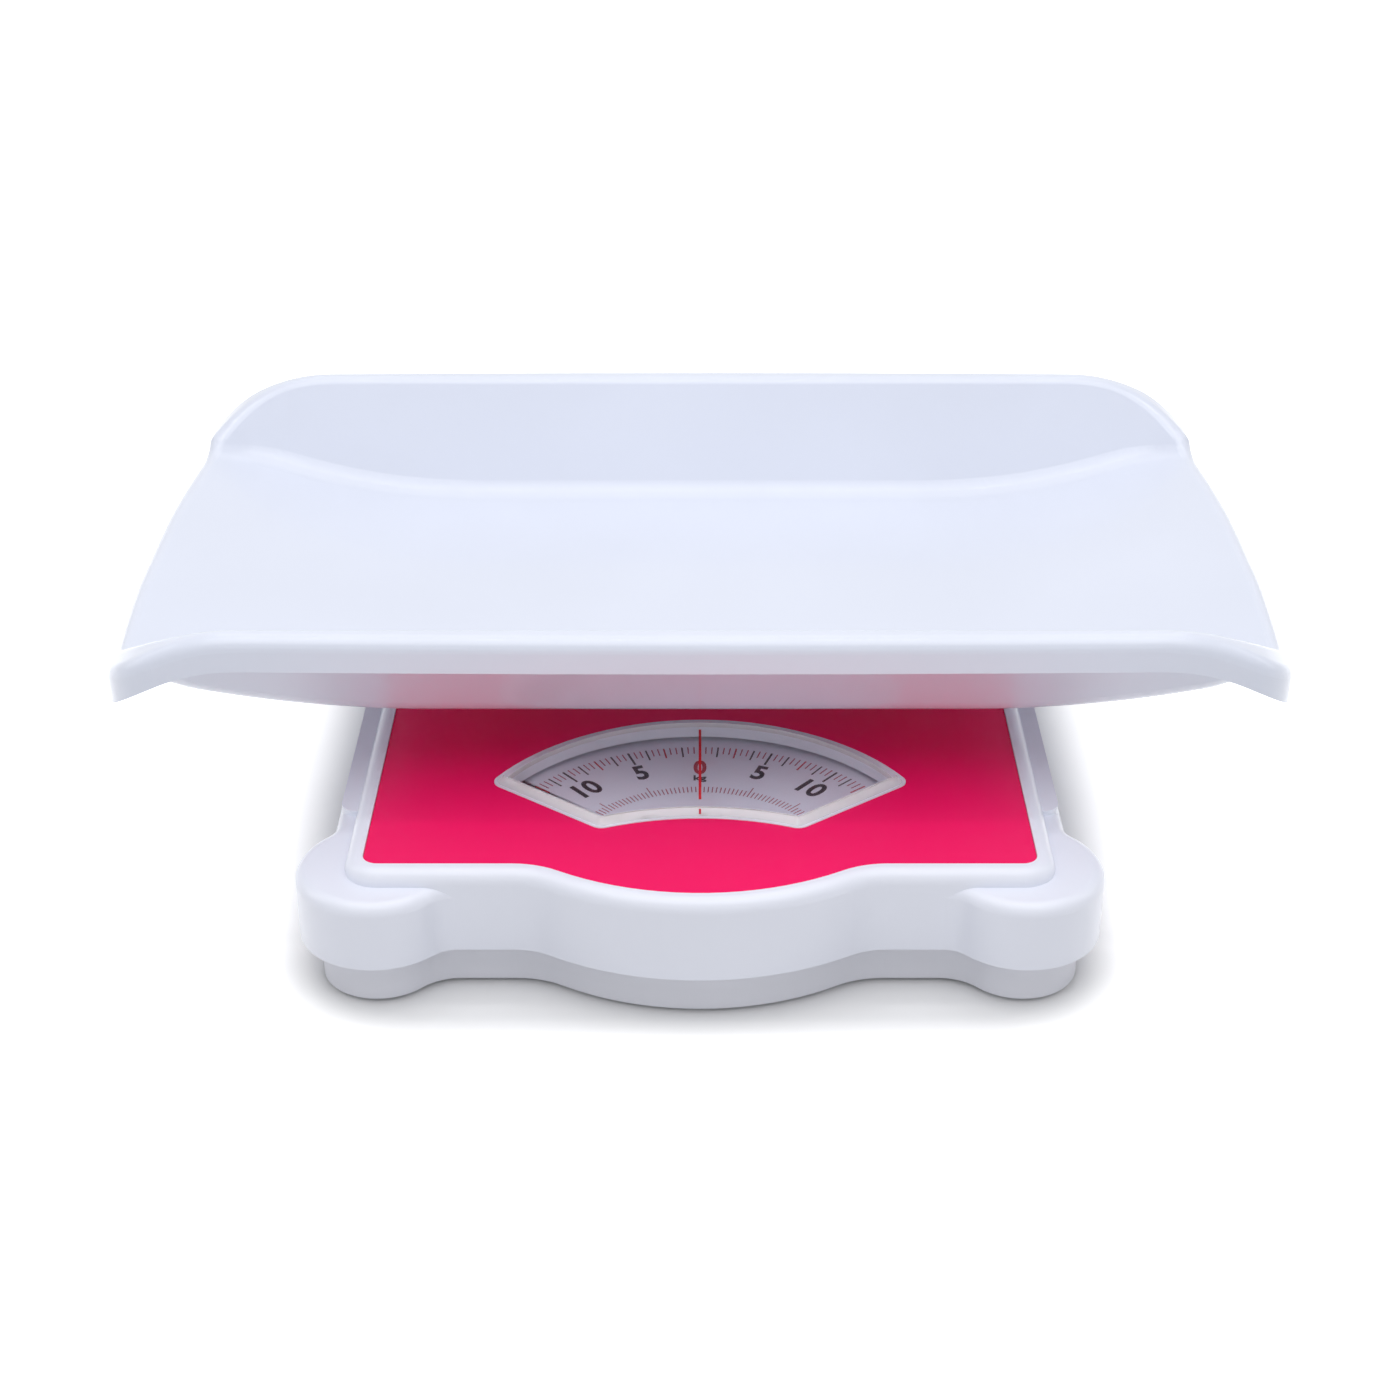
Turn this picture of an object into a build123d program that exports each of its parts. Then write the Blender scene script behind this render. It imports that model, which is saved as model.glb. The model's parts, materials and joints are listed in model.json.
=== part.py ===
from build123d import *
from math import acos, asin, atan2, ceil, cos, degrees, hypot, pi, radians, sin, tan
import os

# Mechanical baby scale, millimetres, front towards -Y, floor at Z = 0

# Tray
tray_length = 578.0
tray_depth = 344.0
tray_setback = 79.8
tray_rim_z = 158.0
tray_floor_z = 98.0
tray_wall = 2.8
tray_side_bow = 3.5
tray_end_bow = 10.0
tray_corner = 28.0
rim_end_drop = 36.0
rim_end_run = 74.0
rim_skirt = 17.0
skirt_gap = 10.0
rim_land = 14.0
rim_outer_round = 7.0
rim_inner_round = 6.0
rim_under_round = 3.5
wall_lean = 27.32
mouth_over = 14.0
mouth_corner = 64.0
floor_flat_half = 130.0
floor_end_inset = 14.0
floor_end_over = 2.0
floor_crease = 14.0
section_over = 10.0
bowl_over = 40.0
bowl_under = 3.0
belly_pad_length = 310.0
belly_pad_depth = 216.0
belly_pad_recess = 0.8
belly_pad_corner = 14.0

# Base plan
base_depth = 384.0
pod_x = 151.4
pod_radius = 37.7
pod_setback = 45.6
pod_blend = 15.0
bulge_radius = 133.0
bulge_depth = 24.6
bulge_blend = 32.0
rear_wall_setback = 17.0
side_half = 175.0
side_blend = 12.0
rim_half = 165.0
rim_corner = 16.0

# Base heights and walls
pan_z = 2.0
pan_floor = 2.5
pan_top_z = 30.0
pan_inset = 9.7
skirt_z = 25.0
ledge_z = 59.5
housing_top_z = 67.2
shell_wall = 2.5
ceiling_z = 62.8
label_thick = 1.0
label_drop = 1.2
label_margin = 8.6
label_gap = 0.15
ledge_round = 6.0
rim_round = 6.5
grip_width = 8.5
grip_height = 2.6
grip_gap = 41.3

# Window, lens and pointer
window_apex = 167.2
window_half = 100.2
window_shoulder = 107.4
window_foot_half = 47.4
window_foot = 66.8
window_sill = 76.2
window_corner = 5.0
window_rib = 1.8
window_lip = 0.3
lens_rise = 3.4
lens_bevel = 3.2
lens_wall = 1.8
lens_gap = 0.1
well_flange = 4.6
well_wall = 1.6
well_gap = 0.7
pointer_width = 1.3
pointer_thick = 0.4
pointer_margin = 12.0

# Dial and its drive
pivot_setback = 51.0
dial_radius = 118.0
dial_thick = 0.8
dial_top_z = 56.5
dial_lead = 100.0
dial_trail = 50.0
dial_turn = 50.0
dial_corner = 6.0
dial_hub_radius = 8.0
dial_hub_height = 3.2
shaft_radius = 1.5
shaft_bore_gap = 0.05
shaft_top = 0.8
tooth_module = 1.0
pinion_teeth = 20
pinion_height = 3.6
tooth_slack = 0.45
pressure_angle = 20.0
root_depth = 1.25
rack_height = 4.0
rack_back = 2.95
rack_end_run = 12.0
post_radius = 5.0
post_foot_radius = 11.0
post_foot_height = 2.0
bore_depth = 17.0

# Levers
platform_travel = 2.0
load_arm = 40.0
lever_x = 140.0
fulcrum_z = 22.0
front_fulcrum_inset = 51.9
rear_fulcrum_inset = 44.1
nose_x = 17.0
lever_width = 10.0
lever_wall = 1.5
lever_bottom_z = 19.5
lever_top_z = 28.0
lever_tail = 8.0
lever_bend = 10.0
lever_pin_radius = 2.0
lever_pin_length = 22.0
tip_pin_radius = 1.5
tongue_width = 8.0
tongue_thick = 3.0
tongue_over = 2.5
tongue_back = 12.0
tongue_root = 23.0
nose_run = 2.4

# Running clearance between pieces that move on each other
play = 0.3

# Ears of brackets and rails
ear_thick = 3.0
ear_gap = 1.5
ear_width = 14.0
ear_above = 3.0
bracket_plate = 2.0
bracket_margin = 2.0
rail_thick = 3.0
rail_end = 12.0
rail_foot = 1.5

# Spring carriage, bridge and bell crank
plate_half = 24.0
plate_front = 7.6
plate_rear = 7.4
plate_thick = 2.0
stem_width = 6.0
stem_thick = 4.0
stem_top_z = 31.0
spring_radius = 6.0
spring_wire = 1.0
spring_turns = 4.5
spring_sides = 8
bridge_disc_z = 50.0
bridge_half = 40.0
bridge_depth = 16.0
bridge_beam_z = 52.0
bridge_thick = 3.0
bridge_foot = 8.0
crank_x = 10.0
crank_arm = 22.0
crank_back = 32.6
crank_z = 28.0
crank_thick = 3.0
crank_width = 5.0
crank_hub = 4.0
crank_pin = 1.25
crank_ear = 2.0
crank_ear_depth = 10.0
tongue_x_width = 3.7
finger_depth = 4.0
hook_plate_height = 7.0
hook_plate_run = 8.0
guide_thick = 3.0
guide_setback = 21.0
guide_margin = 2.2

# Cradle under the tray
cradle_length = 250.0
cradle_depth = 130.0
cradle_corner = 18.0
cradle_wall = 3.0
cradle_taper = 4.0
peg_radius = 7.0
peg_length = 8.0
peg_x = 95.0
peg_y = 42.0
socket_wall = 2.4
socket_depth = 12.0

# Feet and zero wheel
foot_radius = 21.0
foot_stem_radius = 4.0
foot_edge = 0.6
wheel_radius = 8.0
wheel_thick = 7.0
wheel_z = 14.0
wheel_flutes = 16
flute_radius = 0.9
rod_radius = 2.0
collar_radius = 4.0
collar_length = 3.0
nut_half = 7.0
nut_length = 10.0
nut_gap = 1.5
nut_height = 16.0

os.makedirs("parts", exist_ok=True)

# Places worked out from the sizes
overall_depth = tray_setback + tray_depth
mouth_half = tray_length / 2 + mouth_over
rim_level_half = tray_length / 2 - rim_end_run
wall_slope = tan(radians(wall_lean))
floor_end_rise = tray_rim_z - rim_end_drop + floor_end_over - tray_floor_z
rim_end_radius = (rim_end_run**2 + rim_end_drop**2) / (2 * rim_end_drop)
front_y = -overall_depth / 2
tray_y = front_y + tray_setback + tray_depth / 2
base_rear_y = front_y + base_depth
front_wall_y = front_y + bulge_depth
rear_wall_y = base_rear_y - rear_wall_setback
bulge_y = front_y + bulge_radius
pod_front_y = front_y + pod_setback
pod_rear_y = base_rear_y - pod_radius
pod_places = [(side * pod_x, y) for y in (pod_front_y, pod_rear_y) for side in (-1, 1)]
pan_floor_z = pan_z + pan_floor
recess_z = housing_top_z - label_drop - label_thick
label_top_z = recess_z + label_thick
pivot_y = front_y + pivot_setback
pitch_radius = tooth_module * pinion_teeth / 2
rack_travel = pitch_radius * radians(dial_turn)
lever_angle = asin(platform_travel / load_arm)
nose_arm = rack_travel / sin(lever_angle)
front_fulcrum_y = front_y + front_fulcrum_inset
rear_fulcrum_y = base_rear_y - rear_fulcrum_inset
nose_y = front_fulcrum_y + nose_arm
tip_y = (front_fulcrum_y + rear_fulcrum_y) / 2
front_load_y = front_fulcrum_y + load_arm
rear_load_y = rear_fulcrum_y - load_arm
long_bend_y = front_load_y + lever_bend
short_bend_y = rear_load_y - lever_bend
nose_reach_y = nose_y - nose_run * 2
bend_share = (tip_y - long_bend_y) / (nose_reach_y - long_bend_y)
tip_x = lever_x + (nose_x - lever_x) * bend_share
pinion_z = dial_top_z - dial_thick - dial_hub_height - pinion_height
rack_z = pinion_z - (rack_height - pinion_height) / 2
post_top_z = pinion_z - play
crank_swing = rack_travel / crank_arm
crank_y = nose_y - crank_back
crank_tilt = crank_swing / 2
arm_end_y = crank_y + crank_arm * cos(crank_tilt)
arm_end_z = crank_z + crank_arm * sin(crank_tilt)
top_pin_y = crank_y - crank_arm * sin(crank_tilt)
top_pin_z = crank_z + crank_arm * cos(crank_tilt)
plate_top_z = fulcrum_z - 2 * lever_pin_radius - play
finger_top_z = arm_end_z - crank_pin - play
belly_z = tray_floor_z - tray_wall + belly_pad_recess
cradle_top_z = belly_z - play
tray_base_z = tray_floor_z - tray_wall - section_over
pan_rear_y = rear_wall_y - pan_inset
ear_offset = lever_width / 2 + ear_gap + ear_thick / 2


def save(builder, label):
    """Label a finished part and write its STEP file."""
    builder.part.label = label
    export_step(builder.part, f"parts/{label}.step")


def wall_joints(plan, y, low, high):
    """Vertices of a plan on the wall line at y whose |X| lies between low and high."""
    return plan.vertices().filter_by(lambda v: abs(v.Y - y) < 0.01 and low < abs(v.X) < high)


def base_plan(inset=0.0):
    """Plan of the base with its four pods and front bulge, drawn in by inset."""
    with BuildSketch() as plan:
        with Locations((0, (front_wall_y + rear_wall_y) / 2)):
            Rectangle(2 * side_half, rear_wall_y - front_wall_y)
        with Locations((0, bulge_y)):
            Circle(bulge_radius)
        with Locations(*pod_places):
            Circle(pod_radius)
        pod_inner = pod_x - pod_radius
        fillet(wall_joints(plan, front_wall_y, 0, pod_inner), bulge_blend)
        fillet(wall_joints(plan, front_wall_y, pod_inner, side_half), pod_blend)
        fillet(wall_joints(plan, rear_wall_y, pod_inner, side_half), pod_blend)
        sides = plan.vertices().filter_by(lambda v: abs(abs(v.X) - side_half) < 0.01)
        fillet(sides, side_blend)
        if inset:
            offset(amount=-inset)
    return plan.sketch


def rim_plan(inset=0.0):
    """Plan of the raised top of the base, drawn in by inset."""
    with BuildSketch() as plan:
        with Locations((0, (front_wall_y + rear_wall_y) / 2)):
            RectangleRounded(2 * rim_half, rear_wall_y - front_wall_y, rim_corner)
        with Locations((0, bulge_y)):
            Circle(bulge_radius)
        fillet(wall_joints(plan, front_wall_y, 0, pod_x - pod_radius), bulge_blend)
        if inset:
            offset(amount=-inset)
    return plan.sketch


def window_plan(grow=0.0):
    """Fan-shaped plan of the dial window, grown outwards by grow."""
    apex = front_y + window_apex
    shoulder = front_y + window_shoulder
    foot = front_y + window_foot
    sill = front_y + window_sill
    with BuildSketch() as plan:
        with BuildLine():
            ThreePointArc((-window_half, shoulder), (0, apex), (window_half, shoulder))
            Line((window_half, shoulder), (window_foot_half, foot))
            ThreePointArc((window_foot_half, foot), (0, sill), (-window_foot_half, foot))
            Line((-window_foot_half, foot), (-window_half, shoulder))
        make_face()
        fillet(plan.vertices(), window_corner)
        if grow:
            offset(amount=grow)
    return plan.sketch


def tray_outline(shrink):
    """Bowed plan of the tray, drawn in by shrink."""
    half_x = tray_length / 2 - shrink
    half_y = tray_depth / 2 - shrink
    corner_x = half_x - tray_end_bow
    corner_y = half_y - tray_side_bow
    with BuildSketch() as plan:
        with BuildLine():
            ThreePointArc((-corner_x, -corner_y), (0, -half_y), (corner_x, -corner_y))
            ThreePointArc((corner_x, -corner_y), (half_x, 0), (corner_x, corner_y))
            ThreePointArc((corner_x, corner_y), (0, half_y), (-corner_x, corner_y))
            ThreePointArc((-corner_x, corner_y), (-half_x, 0), (-corner_x, -corner_y))
        make_face()
        fillet(plan.vertices(), tray_corner - shrink)
    return plan.sketch


def rim_top(x):
    """Height of the tray's rim at x, before it is rounded over."""
    run = max(abs(x) - rim_level_half, 0)
    return tray_rim_z - rim_end_radius + (rim_end_radius**2 - run**2) ** 0.5


def rim_section(drop, bottom):
    """Front view of all that lies under the tray's rim line, lowered by drop."""
    half = tray_length / 2 + section_over
    level = tray_rim_z - drop
    end_z = rim_top(half) - drop
    with BuildSketch() as section:
        with BuildLine():
            Line((-rim_level_half, level), (rim_level_half, level))
            TangentArc((rim_level_half, level), (half, end_z), tangent=(1, 0))
            Polyline((half, end_z), (half, bottom), (-half, bottom), (-half, end_z))
            TangentArc((-rim_level_half, level), (-half, end_z), tangent=(-1, 0))
        make_face()
    return section.sketch


def bowl_section(drop):
    """Front view of all that lies over the tray's floor line, lowered by drop."""
    half = tray_length / 2 + section_over
    run = tray_length / 2 - floor_end_inset - floor_flat_half
    radius = (run**2 + floor_end_rise**2) / (2 * floor_end_rise) + drop
    floor = tray_floor_z - drop
    end_z = floor + radius - (radius**2 - (half - floor_flat_half) ** 2) ** 0.5
    top = tray_rim_z + bowl_over
    with BuildSketch() as section:
        with BuildLine():
            Line((-floor_flat_half, floor), (floor_flat_half, floor))
            TangentArc((floor_flat_half, floor), (half, end_z), tangent=(1, 0))
            Polyline((half, end_z), (half, top), (-half, top), (-half, end_z))
            TangentArc((-floor_flat_half, floor), (-half, end_z), tangent=(-1, 0))
        make_face()
    return section.sketch


def is_mouth_edge(edge, drop):
    """Whether an edge lies on the rim's top and isn't one of its seams across the rim."""
    middle = edge @ 0.5
    on_top = abs(middle.Z + drop - rim_top(middle.X)) < 0.01
    return on_top and edge.length > rim_land


def is_floor_crease(edge, clear_y):
    """Whether an edge is where the floor meets a side wall, more than clear_y out."""
    middle = edge.center()
    along = edge.bounding_box().size.X > 1
    return along and middle.Z < tray_rim_z and abs(middle.Y) > clear_y


def tray_block(drop, bottom, inner_round):
    """Everything under the tray's upper surface, drawn in by drop, down to bottom."""
    shift = drop * hypot(1, wall_slope)
    mouth_y = tray_depth / 2 - rim_land
    outline = tray_outline(drop)
    section = rim_section(drop, bottom - section_over)
    floor_line = bowl_section(drop)
    with BuildSketch() as mouth:
        RectangleRounded(2 * (mouth_half + shift), 2 * (mouth_y + shift), mouth_corner + shift)
    with BuildPart() as bowl:
        with BuildSketch(Plane.XY.offset(tray_rim_z)):
            add(mouth.sketch)
        extrude(amount=tray_floor_z - drop - tray_rim_z - bowl_under, taper=wall_lean)
        with BuildSketch(Plane.XY.offset(tray_rim_z)):
            add(mouth.sketch)
        extrude(amount=bowl_over)
        with BuildSketch(Plane.XZ):
            add(floor_line)
        extrude(amount=tray_depth, both=True, mode=Mode.INTERSECT)
        creases = bowl.edges().filter_by(lambda e: is_floor_crease(e, mouth_y / 2))
        fillet(creases, floor_crease + drop)
    with BuildPart() as block:
        with BuildSketch(Plane.XY.offset(bottom)):
            add(outline)
        extrude(amount=tray_rim_z + section_over - bottom)
        with BuildSketch(Plane.XZ):
            add(section)
        extrude(amount=tray_depth, both=True, mode=Mode.INTERSECT)
        walls = block.faces().filter_by(lambda f: abs(f.normal_at().Z) < 0.1)
        crown = walls.edges().filter_by(lambda e: abs((e @ 0.5).Z + drop - rim_top((e @ 0.5).X)) < 0.01)
        fillet(crown, rim_outer_round - drop)
        add(bowl.part, mode=Mode.SUBTRACT)
        mouth_edges = block.edges(Select.LAST).filter_by(lambda e: is_mouth_edge(e, drop))
        fillet(mouth_edges, inner_round)
    return block.part


def bar(start, end, width):
    """Round-ended bar in the plane of the sketch from start to end."""
    run = (end[0] - start[0], end[1] - start[1])
    with Locations(((start[0] + end[0]) / 2, (start[1] + end[1]) / 2)):
        SlotCenterToCenter(hypot(*run), width, rotation=degrees(atan2(run[1], run[0])))


def lever_plan(points, width):
    """Plan of a lever that runs through the given points."""
    with BuildSketch() as plan:
        for start, end in zip(points, points[1:]):
            bar(start, end, width)
    return plan.sketch


def side_name(side):
    """Word for the side of the part, -1 for left and 1 for right."""
    return "left" if side < 0 else "right"


# Weighing tray, a moulded shell with a rolled rim, belly pad and locating pegs
with BuildPart() as rim_ring:
    with BuildSketch(Plane.XY.offset(tray_base_z - section_over)):
        add(tray_outline(-section_over))
        add(tray_outline(skirt_gap), mode=Mode.SUBTRACT)
    extrude(amount=tray_rim_z)
    with BuildSketch(Plane.XZ):
        add(rim_section(rim_skirt, tray_base_z - 2 * section_over))
    extrude(amount=tray_depth, both=True, mode=Mode.INTERSECT)

with BuildPart() as weighing_tray:
    add(tray_block(0, tray_base_z, rim_inner_round))
    add(tray_block(tray_wall, tray_base_z - section_over, rim_under_round), mode=Mode.SUBTRACT)
    add(rim_ring.part, mode=Mode.SUBTRACT)
    with BuildSketch(Plane.XY.offset(belly_z)):
        RectangleRounded(belly_pad_length, belly_pad_depth, belly_pad_corner)
    extrude(amount=-belly_pad_recess, mode=Mode.SUBTRACT)
    with BuildSketch(Plane.XY.offset(belly_z)):
        with GridLocations(2 * peg_x, 2 * peg_y, 2, 2):
            Circle(peg_radius)
    extrude(amount=-peg_length)
weighing_tray.part = Pos(0, tray_y, 0) * weighing_tray.part
save(weighing_tray, "weighing_tray")

# Upper housing, the moulded platform with its rim, pods, grips and window well
with BuildPart() as rim_core:
    with BuildSketch(Plane.XY.offset(skirt_z)):
        add(rim_plan())
    extrude(amount=housing_top_z - skirt_z)
    fillet(rim_core.faces().sort_by(Axis.Z)[-1].edges(), rim_round)

with BuildPart() as upper_housing:
    with BuildSketch(Plane.XY.offset(skirt_z)):
        add(base_plan())
    extrude(amount=ledge_z - skirt_z)
    fillet(upper_housing.faces().sort_by(Axis.Z)[-1].edges(), ledge_round)
    add(rim_core.part)
    grip_length = pod_rear_y - pod_front_y - 2 * grip_gap
    with BuildSketch(Plane.XY.offset(ledge_z - ledge_round)):
        with Locations((0, (pod_front_y + pod_rear_y) / 2)):
            with GridLocations(2 * rim_half, 0, 2, 1):
                SlotOverall(grip_length, 2 * grip_width, rotation=90)
    extrude(amount=grip_height + ledge_round)
    with BuildSketch(Plane.XY.offset(skirt_z)):
        add(base_plan(shell_wall))
    extrude(amount=ledge_z - shell_wall - skirt_z, mode=Mode.SUBTRACT)
    with BuildSketch(Plane.XY.offset(skirt_z)):
        add(rim_plan(shell_wall))
    extrude(amount=ceiling_z - skirt_z, mode=Mode.SUBTRACT)
    with BuildSketch(Plane.XY.offset(recess_z)):
        add(rim_plan(label_margin))
    extrude(amount=housing_top_z - recess_z, mode=Mode.SUBTRACT)
    with BuildSketch(Plane.XY.offset(recess_z)):
        add(window_plan(window_rib))
    extrude(amount=label_thick + window_lip)
    well_bottom_z = dial_top_z + platform_travel + well_gap
    with BuildSketch(Plane.XY.offset(well_bottom_z)):
        add(window_plan(well_wall - well_flange))
    extrude(amount=ceiling_z - well_bottom_z)
    with BuildSketch(Plane.XY.offset(well_bottom_z)):
        add(window_plan(-well_flange))
    extrude(amount=housing_top_z - well_bottom_z, mode=Mode.SUBTRACT)
    with BuildSketch(Plane.XY.offset(recess_z)):
        add(window_plan(lens_gap))
    extrude(amount=housing_top_z - recess_z, mode=Mode.SUBTRACT)
save(upper_housing, "upper_housing")

# Label panel in the recess, cut out for the window and the cradle
with BuildPart() as label_panel:
    with BuildSketch(Plane.XY.offset(recess_z)):
        add(rim_plan(label_margin + label_gap))
        add(window_plan(window_rib + label_gap), mode=Mode.SUBTRACT)
        with Locations((0, tray_y)):
            grown = 2 * label_gap
            size = (cradle_length + grown, cradle_depth + grown)
            RectangleRounded(*size, cradle_corner + label_gap, mode=Mode.SUBTRACT)
    extrude(amount=label_thick)
save(label_panel, "label_panel")

# Window lens, a clear dished cover with a bevelled edge
lens_top_z = label_top_z + lens_rise
with BuildPart() as window_lens:
    with BuildSketch(Plane.XY.offset(recess_z)):
        add(window_plan())
    extrude(amount=lens_top_z - recess_z)
    chamfer(window_lens.faces().sort_by(Axis.Z)[-1].edges(), lens_bevel)
    with BuildSketch(Plane.XY.offset(recess_z)):
        add(window_plan(-lens_wall - lens_bevel))
    extrude(amount=lens_top_z - lens_wall - recess_z, mode=Mode.SUBTRACT)
save(window_lens, "window_lens")

# Pointer line under the lens
lens_under_z = lens_top_z - lens_wall
sill_y = front_y + window_sill + pointer_margin
apex_y = front_y + window_apex - pointer_margin
with BuildPart() as pointer_line:
    with BuildSketch(Plane.XY.offset(lens_under_z)):
        with Locations((0, (sill_y + apex_y) / 2)):
            Rectangle(pointer_width, apex_y - sill_y)
    extrude(amount=-pointer_thick)
save(pointer_line, "pointer_line")

# Cradle that carries the tray on the platform
with BuildPart() as tray_cradle:
    with BuildSketch(Plane.XY.offset(recess_z)):
        with Locations((0, tray_y)):
            RectangleRounded(cradle_length, cradle_depth, cradle_corner)
    extrude(amount=cradle_top_z - recess_z, taper=cradle_taper)
    with BuildSketch(Plane.XY.offset(recess_z)):
        with Locations((0, tray_y)):
            inner = (cradle_length - 2 * cradle_wall, cradle_depth - 2 * cradle_wall)
            RectangleRounded(*inner, cradle_corner - cradle_wall)
    extrude(amount=cradle_top_z - cradle_wall - recess_z, taper=cradle_taper, mode=Mode.SUBTRACT)
    with BuildSketch(Plane.XY.offset(cradle_top_z)):
        with Locations((0, tray_y)):
            with GridLocations(2 * peg_x, 2 * peg_y, 2, 2):
                Circle(peg_radius + play + socket_wall)
    extrude(amount=-socket_depth)
    with BuildSketch(Plane.XY.offset(cradle_top_z)):
        with Locations((0, tray_y)):
            with GridLocations(2 * peg_x, 2 * peg_y, 2, 2):
                Circle(peg_radius + play)
    extrude(amount=-socket_depth, mode=Mode.SUBTRACT)
save(tray_cradle, "tray_cradle")

# Base pan, the lower housing that stands on the feet
knob_bore = rod_radius + play
with BuildPart() as base_pan:
    with BuildSketch(Plane.XY.offset(pan_z)):
        add(base_plan(pan_inset))
    extrude(amount=pan_top_z - pan_z)
    with BuildSketch(Plane.XY.offset(pan_floor_z)):
        add(base_plan(pan_inset + shell_wall))
    extrude(amount=pan_top_z - pan_floor_z, mode=Mode.SUBTRACT)
    with BuildSketch(Plane.XY.offset(pan_z)):
        with Locations(*pod_places):
            Circle(foot_stem_radius)
    extrude(amount=pan_floor, mode=Mode.SUBTRACT)
    with BuildSketch(Plane.XZ.offset(-pan_rear_y)):
        with Locations((0, wheel_z)):
            Circle(knob_bore)
    extrude(amount=2 * shell_wall, mode=Mode.SUBTRACT)
save(base_pan, "base_pan")

# Rubber feet, one under each pod
foot_names = ("foot_front_left", "foot_front_right", "foot_rear_left", "foot_rear_right")
for label, place in zip(foot_names, pod_places):
    with BuildPart() as foot:
        with BuildSketch():
            with Locations(place):
                Circle(foot_radius)
        extrude(amount=pan_z)
        chamfer(foot.edges().filter_by(GeomType.CIRCLE).sort_by(Axis.Z)[0], foot_edge)
        with BuildSketch(Plane.XY.offset(pan_z)):
            with Locations(place):
                Circle(foot_stem_radius)
        extrude(amount=pan_floor)
    save(foot, label)

# Fulcrum brackets, open ears that carry the lever pins
pin_slot = 2 * (lever_pin_radius + play)
for end, y in (("front", front_fulcrum_y), ("rear", rear_fulcrum_y)):
    for side in (-1, 1):
        with BuildPart() as bracket:
            with BuildSketch(Plane.XY.offset(pan_floor_z)):
                with Locations((side * lever_x, y)):
                    plate = 2 * ear_offset + ear_thick + 2 * bracket_margin
                    Rectangle(plate, ear_width + 2 * bracket_margin)
            extrude(amount=bracket_plate)
            with BuildSketch(Plane.XY.offset(pan_floor_z)):
                with Locations((side * lever_x, y)):
                    with GridLocations(2 * ear_offset, 0, 2, 1):
                        Rectangle(ear_thick, ear_width)
            extrude(amount=fulcrum_z + ear_above - pan_floor_z)
            with BuildSketch(Plane.YZ.offset(side * lever_x)):
                with Locations((y, fulcrum_z)):
                    Circle(pin_slot / 2)
                with Locations((y, fulcrum_z + ear_above)):
                    Rectangle(pin_slot, 2 * ear_above)
            extrude(amount=ear_offset + ear_thick, both=True, mode=Mode.SUBTRACT)
        save(bracket, f"fulcrum_bracket_{end}_{side_name(side)}")

# Long levers, pressed channels from the front fulcrums to the spring carriage
for side in (-1, 1):
    x = side * lever_x
    long_path = (
        (x, front_fulcrum_y - lever_tail),
        (x, long_bend_y),
        (side * nose_x, nose_reach_y),
        (side * nose_x, nose_y + nose_run),
    )
    with BuildPart() as long_lever:
        with BuildSketch(Plane.XY.offset(lever_bottom_z)):
            add(lever_plan(long_path, lever_width))
        extrude(amount=lever_top_z - lever_bottom_z)
        with BuildSketch(Plane.XY.offset(lever_bottom_z + lever_wall)):
            add(lever_plan(long_path, lever_width - 2 * lever_wall))
        extrude(amount=lever_top_z - lever_bottom_z, mode=Mode.SUBTRACT)
        with BuildSketch(Plane.XY.offset(lever_bottom_z)):
            with Locations((side * tip_x, tip_y)):
                Circle(lever_width / 2)
        extrude(amount=lever_top_z - lever_bottom_z)
        with BuildSketch(Plane.YZ.offset(x)):
            with Locations((front_fulcrum_y, fulcrum_z), (front_load_y, fulcrum_z)):
                Circle(lever_pin_radius)
        extrude(amount=lever_pin_length / 2, both=True)
        with BuildSketch(Plane.YZ.offset(side * nose_x)):
            with Locations((nose_y, fulcrum_z - lever_pin_radius)):
                Circle(lever_pin_radius)
        extrude(amount=lever_width / 2, both=True)
    save(long_lever, f"long_lever_{side_name(side)}")

# Short levers, from the rear fulcrums to a tongue that rests on the long levers
tongue_run = hypot(lever_x - tip_x, short_bend_y - tip_y)
toward_x = (tip_x - lever_x) / tongue_run
toward_y = (tip_y - short_bend_y) / tongue_run
tongue_z = lever_top_z + play + tip_pin_radius
for side in (-1, 1):
    x = side * lever_x
    body_end = (side * (tip_x - toward_x * tongue_back), tip_y - toward_y * tongue_back)
    tongue_start = (side * (tip_x - toward_x * tongue_root), tip_y - toward_y * tongue_root)
    tongue_end = (side * (tip_x + toward_x * tongue_over), tip_y + toward_y * tongue_over)
    short_path = ((x, rear_fulcrum_y + lever_tail), (x, short_bend_y), body_end)
    with BuildPart() as short_lever:
        with BuildSketch(Plane.XY.offset(lever_bottom_z)):
            add(lever_plan(short_path, lever_width))
        extrude(amount=lever_top_z - lever_bottom_z)
        with BuildSketch(Plane.XY.offset(lever_bottom_z + lever_wall)):
            add(lever_plan(short_path, lever_width - 2 * lever_wall))
        extrude(amount=lever_top_z - lever_bottom_z, mode=Mode.SUBTRACT)
        with BuildSketch(Plane.XY.offset(lever_bottom_z)):
            add(lever_plan((tongue_start, body_end), tongue_width))
        extrude(amount=tongue_z + tongue_thick - lever_bottom_z)
        with BuildSketch(Plane.XY.offset(tongue_z)):
            add(lever_plan((tongue_start, tongue_end), tongue_width))
        extrude(amount=tongue_thick)
        with BuildSketch(Plane.YZ.offset(side * tip_x)):
            with Locations((tip_y, tongue_z)):
                Circle(tip_pin_radius)
        extrude(amount=tongue_width / 2, both=True)
        with BuildSketch(Plane.YZ.offset(x)):
            with Locations((rear_fulcrum_y, fulcrum_z), (rear_load_y, fulcrum_z)):
                Circle(lever_pin_radius)
        extrude(amount=lever_pin_length / 2, both=True)
    save(short_lever, f"short_lever_{side_name(side)}")

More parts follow.
